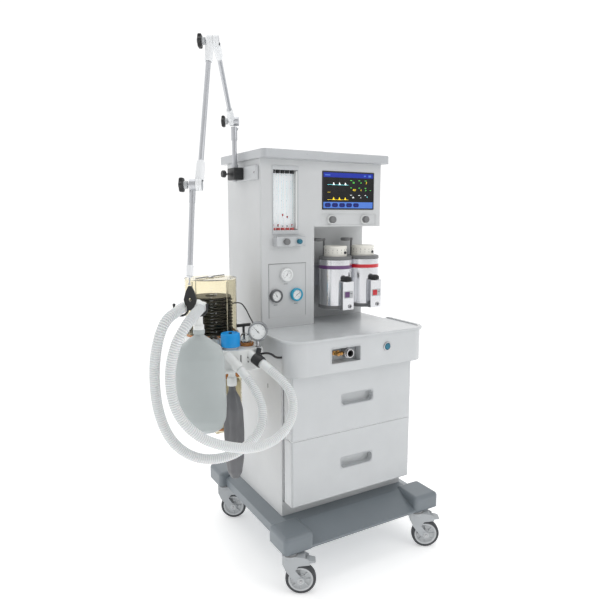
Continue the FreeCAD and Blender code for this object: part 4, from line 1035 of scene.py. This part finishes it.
def canister():
    """Absorbent granules in the clear canister, and its cast collar."""
    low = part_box("canister")[0][2] * 1000
    bm = bmesh.new()
    stand = Matrix.Translation(spot(*CANISTER_AT, 0))
    add_lathe(bm, [(54.2, low + 22), (55.4, low + 22), (55.4, low + 30), (54.2, low + 30)], stand, 0, 96)
    add_lathe(bm, [(54.2, 676), (57.4, 676), (58, 678), (58, 689), (57, 691), (54.2, 691)], stand, 0, 96,
              (32, 0.02, 57.5))
    finish_mesh("canister_collar", bm, amber(), "machine")
    bm = bmesh.new()
    add_lathe(bm, [(0, low + 18), (48, low + 18), (50.4, low + 21), (50.4, 650), (47, 656), (0, 658)], stand,
              0, 128)
    for vert in bm.verts:
        push = noise.noise(vert.co * 260) * 0.0014
        vert.co += (vert.co - spot(*CANISTER_AT, vert.co.z * 1000)).normalized() * push
    finish_mesh("absorbent_granules", bm,
                surface("granules", (232, 226, 208), rough=0.8, grain=260, bump=0.9),
                       "machine", sharp=80)


AIRWAY_GAUGE = (-323, 78, 826)


def airway_gauge():
    """The pressure gauge on its mast, tilted to the front left."""
    ahead = Vector((-0.5, -math.sqrt(0.75), 0))
    bm = bmesh.new()
    add_gauge(bm, at(spot(*AIRWAY_GAUGE), ahead), 30.8, 21, 0, 132, 9)
    case = surface("gauge_case", (150, 153, 156), rough=0.28, metal=0.6, grain=400, bump=0.03)
    finish_mesh("airway_gauge_dial", bm, [case, dial_face(), ink(), dark_plastic()], "machine",
                stands_for="airway_gauge")
    bm = bmesh.new()
    foot = spot(-328, 69.5, 776)
    add_rod(bm, foot, foot + UP * 0.019, 5.4, 0, 32)
    add_lathe(bm, [(0, 0), (9, 0), (9, 2), (6, 4), (5, 6)], at(foot), 0, 40)
    add_lathe(bm, [(0, 0), (4.6, 0), (4.6, 7), (0, 8)], at(spot(*AIRWAY_GAUGE) - ahead * 0.006, -ahead), 0,
              24)
    finish_mesh("gauge_mast", bm, steel(), "machine")


# ---------------------------------------------------------------- bags


def hanging_bag(name, node, body, top, rows, turn, mat, folds):
    """A rubber bag hung from its neck: ovals lofted down, then wrinkled lengthways.

    rows are (down, half width, half depth, shift) in millimetres, folds is (count, depth)."""
    around = 96
    bm = bmesh.new()
    down = [r[0] for r in rows]
    steps = 90
    rings = []
    spin = Matrix.Rotation(turn, 4, "Z")
    for i in range(steps + 1):
        z = down[0] + (down[-1] - down[0]) * (i / steps)
        wide, deep, shift = (smooth_between(down, [r[k] for r in rows], z) for k in (1, 2, 3))
        share = (z - down[0]) / (down[-1] - down[0])
        ring = []
        for j in range(around):
            angle = math.tau * j / around
            square = 0.86
            cx = math.copysign(abs(math.cos(angle)) ** square, math.cos(angle))
            cy = math.copysign(abs(math.sin(angle)) ** square, math.sin(angle))
            ripple = 1 + folds[1] * math.sin(math.pi * share) ** 0.5 * (
                0.6 * math.cos(folds[0] * angle + 3 * share) + 0.4 * noise.noise(Vector((cx * 2.2, cy * 2.2,
                                                                                         share * 3.1))))
            local = Vector((cx * wide * ripple + shift, cy * deep * ripple, -z)) / 1000
            ring.append(bm.verts.new(top + (spin @ local)))
        rings.append(ring)
    for low, high in zip(rings, rings[1:]):
        for j in range(around):
            k = (j + 1) % around
            bm.faces.new((low[j], low[k], high[k], high[j]))
    bm.faces.new(rings[0][::-1])
    bm.faces.new(rings[-1])
    bag = finish_mesh(name, bm, mat, body, sharp=75)
    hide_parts(node)
    return bag


def smooth_between(marks, values, place):
    """A smooth value between marks (a monotone blend, with no overshoot)."""
    for a, b, u, v in zip(marks, marks[1:], values, values[1:]):
        if place <= b:
            share = (place - a) / (b - a)
            return u + (v - u) * (share * share * (3 - 2 * share) * 0.5 + share * 0.5)
    return values[-1]


def bags():
    """The grey test bag under the Y-piece, and the black folded reservoir bag."""
    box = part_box("test_bag")
    centre = Vector(((box[0][0] + box[1][0]) / 2, (box[0][1] + box[1][1]) / 2, box[1][2]))
    grey = surface("grey_bag_rubber", (176, 183, 183), rough=0.5, grain=420, bump=0.08, mottle=0.035,
                   sheen=0.15)
    rows = [(0, 12.5, 12, 0), (14, 13, 12.4, 0), (30, 34, 25, 0), (50, 61, 38, 0), (82, 70, 45, 0),
            (150, 71.5, 47.5, 1),
            (215, 71, 46, 3), (255, 66, 41, 6), (284, 53, 31, 9), (297, 34, 19, 10), (301, 8, 5, 10)]
    hanging_bag("grey_bag", "test_bag", "hose_holder", centre, rows, math.radians(-30), grey, (3, 0.02))
    bm = bmesh.new()
    ring = [(12.6, -12), (15.6, -12), (16.4, -10.5), (16.4, -1), (15.4, 0.2), (12.8, 0.4)]
    add_lathe(bm, ring, Matrix.Translation(centre + UP * 0.001), 0, 64)
    finish_mesh("grey_bag_collar", bm, grey, "hose_holder")

    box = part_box("reservoir_bag")
    top = Vector(((box[0][0] + box[1][0]) / 2, (box[0][1] + box[1][1]) / 2, 0.664))
    black = surface("black_bag_rubber", (98, 99, 102), rough=0.42, grain=380, bump=0.1, mottle=0.2, sheen=0.2)
    rows = [(0, 10.5, 10, 0), (16, 11.5, 10.5, 0), (42, 22, 17, 1), (80, 28, 21, 3), (150, 30, 22.5, 5),
            (235, 28, 22, 6),
            (280, 23, 18, 6), (302, 14, 11, 6), (307, 4, 3, 6)]
    hanging_bag("black_bag", "reservoir_bag", "machine", top, rows, math.radians(-30), black, (5, 0.2))
    bm = bmesh.new()
    ring = [(11.2, 0), (14.6, 0), (15.2, 1.2), (15.2, 22), (14, 26), (11.6, 27)]
    add_lathe(bm, ring, Matrix.Translation(top), 0, 64)
    finish_mesh("black_bag_collar", bm, white_plastic(), "machine")


# ---------------------------------------------------------------- arm


HEAD_FACE_M = 0.0079   # from the middle of a link's head to just inside its flat face


def arm():
    """Pale sleeves over the links' ends and black star knobs with grey hubs."""
    links = (("arm_inner_link", "arm_shoulder", "arm_elbow", 8, 8),
             ("arm_outer_link", "arm_elbow", "arm_wrist", 24.5, 34.5))
    shell = surface("sleeve_plastic", (236, 238, 240), rough=0.34, grain=500, bump=0.04)
    for body, near, far, side_near, side_far in links:
        start, axis = pivot(near)
        end, _ = pivot(far)
        start = start + axis * side_near / 1000
        end = end + axis * side_far / 1000
        ahead = (end - start).normalized()
        bm = bmesh.new()
        for place, way in ((start, ahead), (end, -ahead)):
            sleeve = [(10.2, 12), (11.4, 13.5), (11.8, 22), (11.4, 60), (10.2, 66), (7.6, 68), (7.1, 62)]
            add_lathe(bm, sleeve, at(place, way), 0, 40)
            for face in (-1, 1):
                add_lathe(bm, [(10.2, 0), (15.4, 0), (15.7, -1.2), (15.7, -6.6), (15.2, -7.8), (10.2, -7.9)],
                          at(place + axis * face * HEAD_FACE_M, axis * face), 0, 56)
        finish_mesh(body + "_sleeves", bm, shell, body)
    for joint in ("shoulder", "elbow", "wrist"):
        node = "arm_knob_" + joint
        low, high = (Vector(c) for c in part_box(node))
        _, axis = pivot("knob_" + joint)
        centre = (low + high) / 2
        turn = at(centre - axis * 0.011, axis)
        bm = bmesh.new()
        star = [(0, 9), (14, 9), (18.5, 10), (20.4, 12), (20.4, 18.5), (18.5, 20.8), (12, 22), (0, 22)]
        add_lathe(bm, star, turn, 0, 120, (6, 0.2, 13))
        add_lathe(bm, [(4.1, 0.2), (9.6, 0.2), (10.4, 1.4), (10.4, 9.4), (4.1, 9.4)], turn, 1, 48)
        add_lathe(bm, [(0, 21.8), (7.4, 21.8), (7.4, 23), (6.4, 23.8), (0, 24)], turn, 1, 40)
        finish_mesh(node + "_star", bm, [dark_plastic(), light_plastic()], node,
                    stands_for=node)
    bm = bmesh.new()
    add_block(bm, (-297, 305, 1306), (-262, 366, 1347), MACHINE, 0, 3.5)
    add_rod(bm, spot(-298, 352, 1327), spot(-311, 352, 1327), 4, 2)
    add_lathe(bm, [(0, 0), (10, 0), (12.4, 1.6), (12.4, 11), (11, 13), (0, 13)],
              at(spot(-309.5, 352, 1327), (-1, 0, 0)), 0,
              72, (9, 0.1, 11))
    add_block(bm, (-262, 212, 1303), (-250.2, 400, 1350), MACHINE, 1, 2.5)
    for y in (222, 390):
        add_lathe(bm, [(0, 0), (4.4, 0), (4.4, 1.4), (3.6, 2), (0, 2)], at(spot(-262, y, 1326.5), (-1, 0, 0)),
                  2, 6)
    finish_mesh("rail_clamp", bm, [dark_plastic(), light_plastic(), steel()], "machine",
                stands_for="arm_clamp")
    end, down = pivot("holder_swivel")
    down = -down
    bm = bmesh.new()
    add_lathe(bm, [(7.2, -30), (8.6, -29), (9.4, -26), (9.4, -4), (8.8, -1), (6, 2.5), (3, 4), (2.2, 4)],
              at(end, down), 0, 40)
    finish_mesh("drop_tube_tip", bm, shell, "arm_drop_tube")


# ---------------------------------------------------------------- back and small parts


def rear_details():
    """Vents and connector rings on the back panel."""
    y = 477.3
    bm = bmesh.new()
    for i in range(14):
        z = 1180 + 9 * i
        add_block(bm, (-90, y - 0.2, z), (90, y + 0.9, z + 3.6), MACHINE, 0, 0.4, 1)
    for x in (-120, -60):
        ring = at(spot(x, y, 900), (0, 1, 0))
        add_lathe(bm, [(13.2, 0), (17, 0), (17, 3), (15.5, 4.4), (13.2, 4.4)], ring, 1, 48)
        add_lathe(bm, [(0, 8), (11.5, 8), (11.5, 14), (8.2, 14)], ring, 1, 6)
    finish_mesh("rear_vents", bm, [grey_plastic(), brass()], "machine")


def front_edges():
    """The cabinet's pale front lips, and the divider that fills the joint between the drawers; both glow
    faintly, painted light that keeps the joints pale.
    """
    upper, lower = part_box("drawer_upper"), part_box("drawer_lower")
    seam = (upper[0][2] + lower[1][2]) * 500
    half = (upper[0][2] - lower[1][2]) * 500 - 0.25
    left = (upper[0][0] - MIDDLE) * 1000
    bm = bmesh.new()
    add_block(bm, (left + 1, 1.2, seam - half), (-left - 1, 60.5, seam + half), MACHINE, 0, 0.4, 1)
    for side in (-1, 1):
        edges = sorted((side * LIP[0], side * LIP[1]))
        add_block(bm, (edges[0], 59.2, lower[0][2] * 1000), (edges[1], 61.2, upper[1][2] * 1000), MACHINE, 0,
                  0.3, 1)
    # The lips and divider glow faintly: painted light that keeps the drawer joints pale.
    finish_mesh("drawer_divider", bm, surface("lip_painted_glow", (214, 216, 217), rough=0.4, glow=0.12), "machine")


def slot_mark():
    """The small dark slot in the cabinet's left side: a dark block painted where the opening is in shade."""
    bm = bmesh.new()
    # A dark block stands in for the shade inside the slot.
    add_block(bm, (-251.3, 155.4, 606.4), (-249, 158.6, 621.6), MACHINE, 0, 0.5)
    finish_mesh("cabinet_slot_shade", bm, dark_plastic(), "machine")


def cad_finishes():
    """Gives every CAD node that stays in sight its finished material."""
    amber_clear = clear("amber_clear_dome", (246, 241, 224), 0.06)
    water_clear = clear("water_clear", (250, 253, 253), 0.03)
    looks = {
        "base_chassis": slate(), "cabinet_shell": paint(), "column_shell": paint(), "rear_cover": paint(),
        "worktop": moulding(), "top_shelf": shelf_moulding(), "drawer_upper": moulding(),
        "drawer_lower": moulding(),
        "display_screen": dark_plastic(), "flowmeter_housing": light_plastic(),
        "flowmeter_tubes": water_clear,
        "vaporizer_manifold": alloy(), "valve_domes": water_clear, "canister": amber_clear,
        "bellows_dome": amber_clear,
        "absorber_block": white_plastic(), "selector_lever": dark_plastic(), "bellows_disc": dark_plastic(),
        "arm_post": alloy(), "arm_inner_link": alloy(), "arm_outer_link": alloy(),
        "arm_drop_tube": alloy(), "hose_holder": dark_plastic(), "breathing_y_piece": white_plastic(),
        "vaporizer_bodies": surface("brushed_flask", (206, 208, 212)),
    }
    for name in WHEELS:
        looks["caster_fork_" + name] = caster_plastic()
        if name.startswith("front"):
            looks["brake_pedal_" + name] = caster_plastic()
    for node, mat in looks.items():
        for holder in frame["nodes"][node].material_slots:
            holder.material = mat


# ---------------------------------------------------------------- light and floor


def studio():
    """Pale floor, white surroundings and soft lamps."""
    bpy.ops.mesh.primitive_plane_add(size=30, location=(0, 0, -0.0002))
    floor = bpy.context.object
    floor.name = "floor"
    floor.data.materials.append(surface("floor_white", (252, 252, 252), rough=0.9, mottle=0.004, bump=0.0,
                                        glow=0.34))
    world = bpy.data.worlds.new("studio")
    bpy.context.scene.world = world
    world.use_nodes = True
    nodes, links = world.node_tree.nodes, world.node_tree.links
    where = nodes.new("ShaderNodeTexCoord")
    parts = nodes.new("ShaderNodeSeparateXYZ")
    ramp = nodes.new("ShaderNodeMapRange")
    ramp.inputs["From Min"].default_value = -0.9
    ramp.inputs["From Max"].default_value = 0.6
    ramp.inputs["To Min"].default_value = 0.36
    ramp.inputs["To Max"].default_value = 1.08
    links.new(where.outputs["Generated"], parts.inputs["Vector"])
    links.new(parts.outputs["Y"], ramp.inputs["Value"])
    links.new(ramp.outputs["Result"], nodes["Background"].inputs["Strength"])
    nodes["Background"].inputs["Color"].default_value = (1, 1, 1, 1)
    bpy.context.scene.view_settings.view_transform = "Standard"
    lamps = (("key", (1.6, -3.2, 2.9), 2.4, 34), ("fill", (-3.0, -1.6, 2.2), 2.6, 5),
             ("top", (0, 0.2, 3.6), 2.6, 20))
    for name, place, size, power in lamps:
        data = bpy.data.lights.new(name, "AREA")
        data.size = size
        data.energy = power
        lamp = bpy.data.objects.new(name, data)
        lamp.location = place
        lamp.rotation_euler = (Vector((0, 0, 0.8)) - Vector(place)).to_track_quat("-Z", "Y").to_euler()
        bpy.context.collection.objects.link(lamp)


camera()
hoses()
casters()
outlet_recess()
handle_rims()
knobs()
gauges()
panel_lines()
flowmeter()
screen()
vaporizers()
absorber()
bellows()
canister()
airway_gauge()
bags()
arm()
rear_details()
front_edges()
slot_mark()
cad_finishes()
studio()
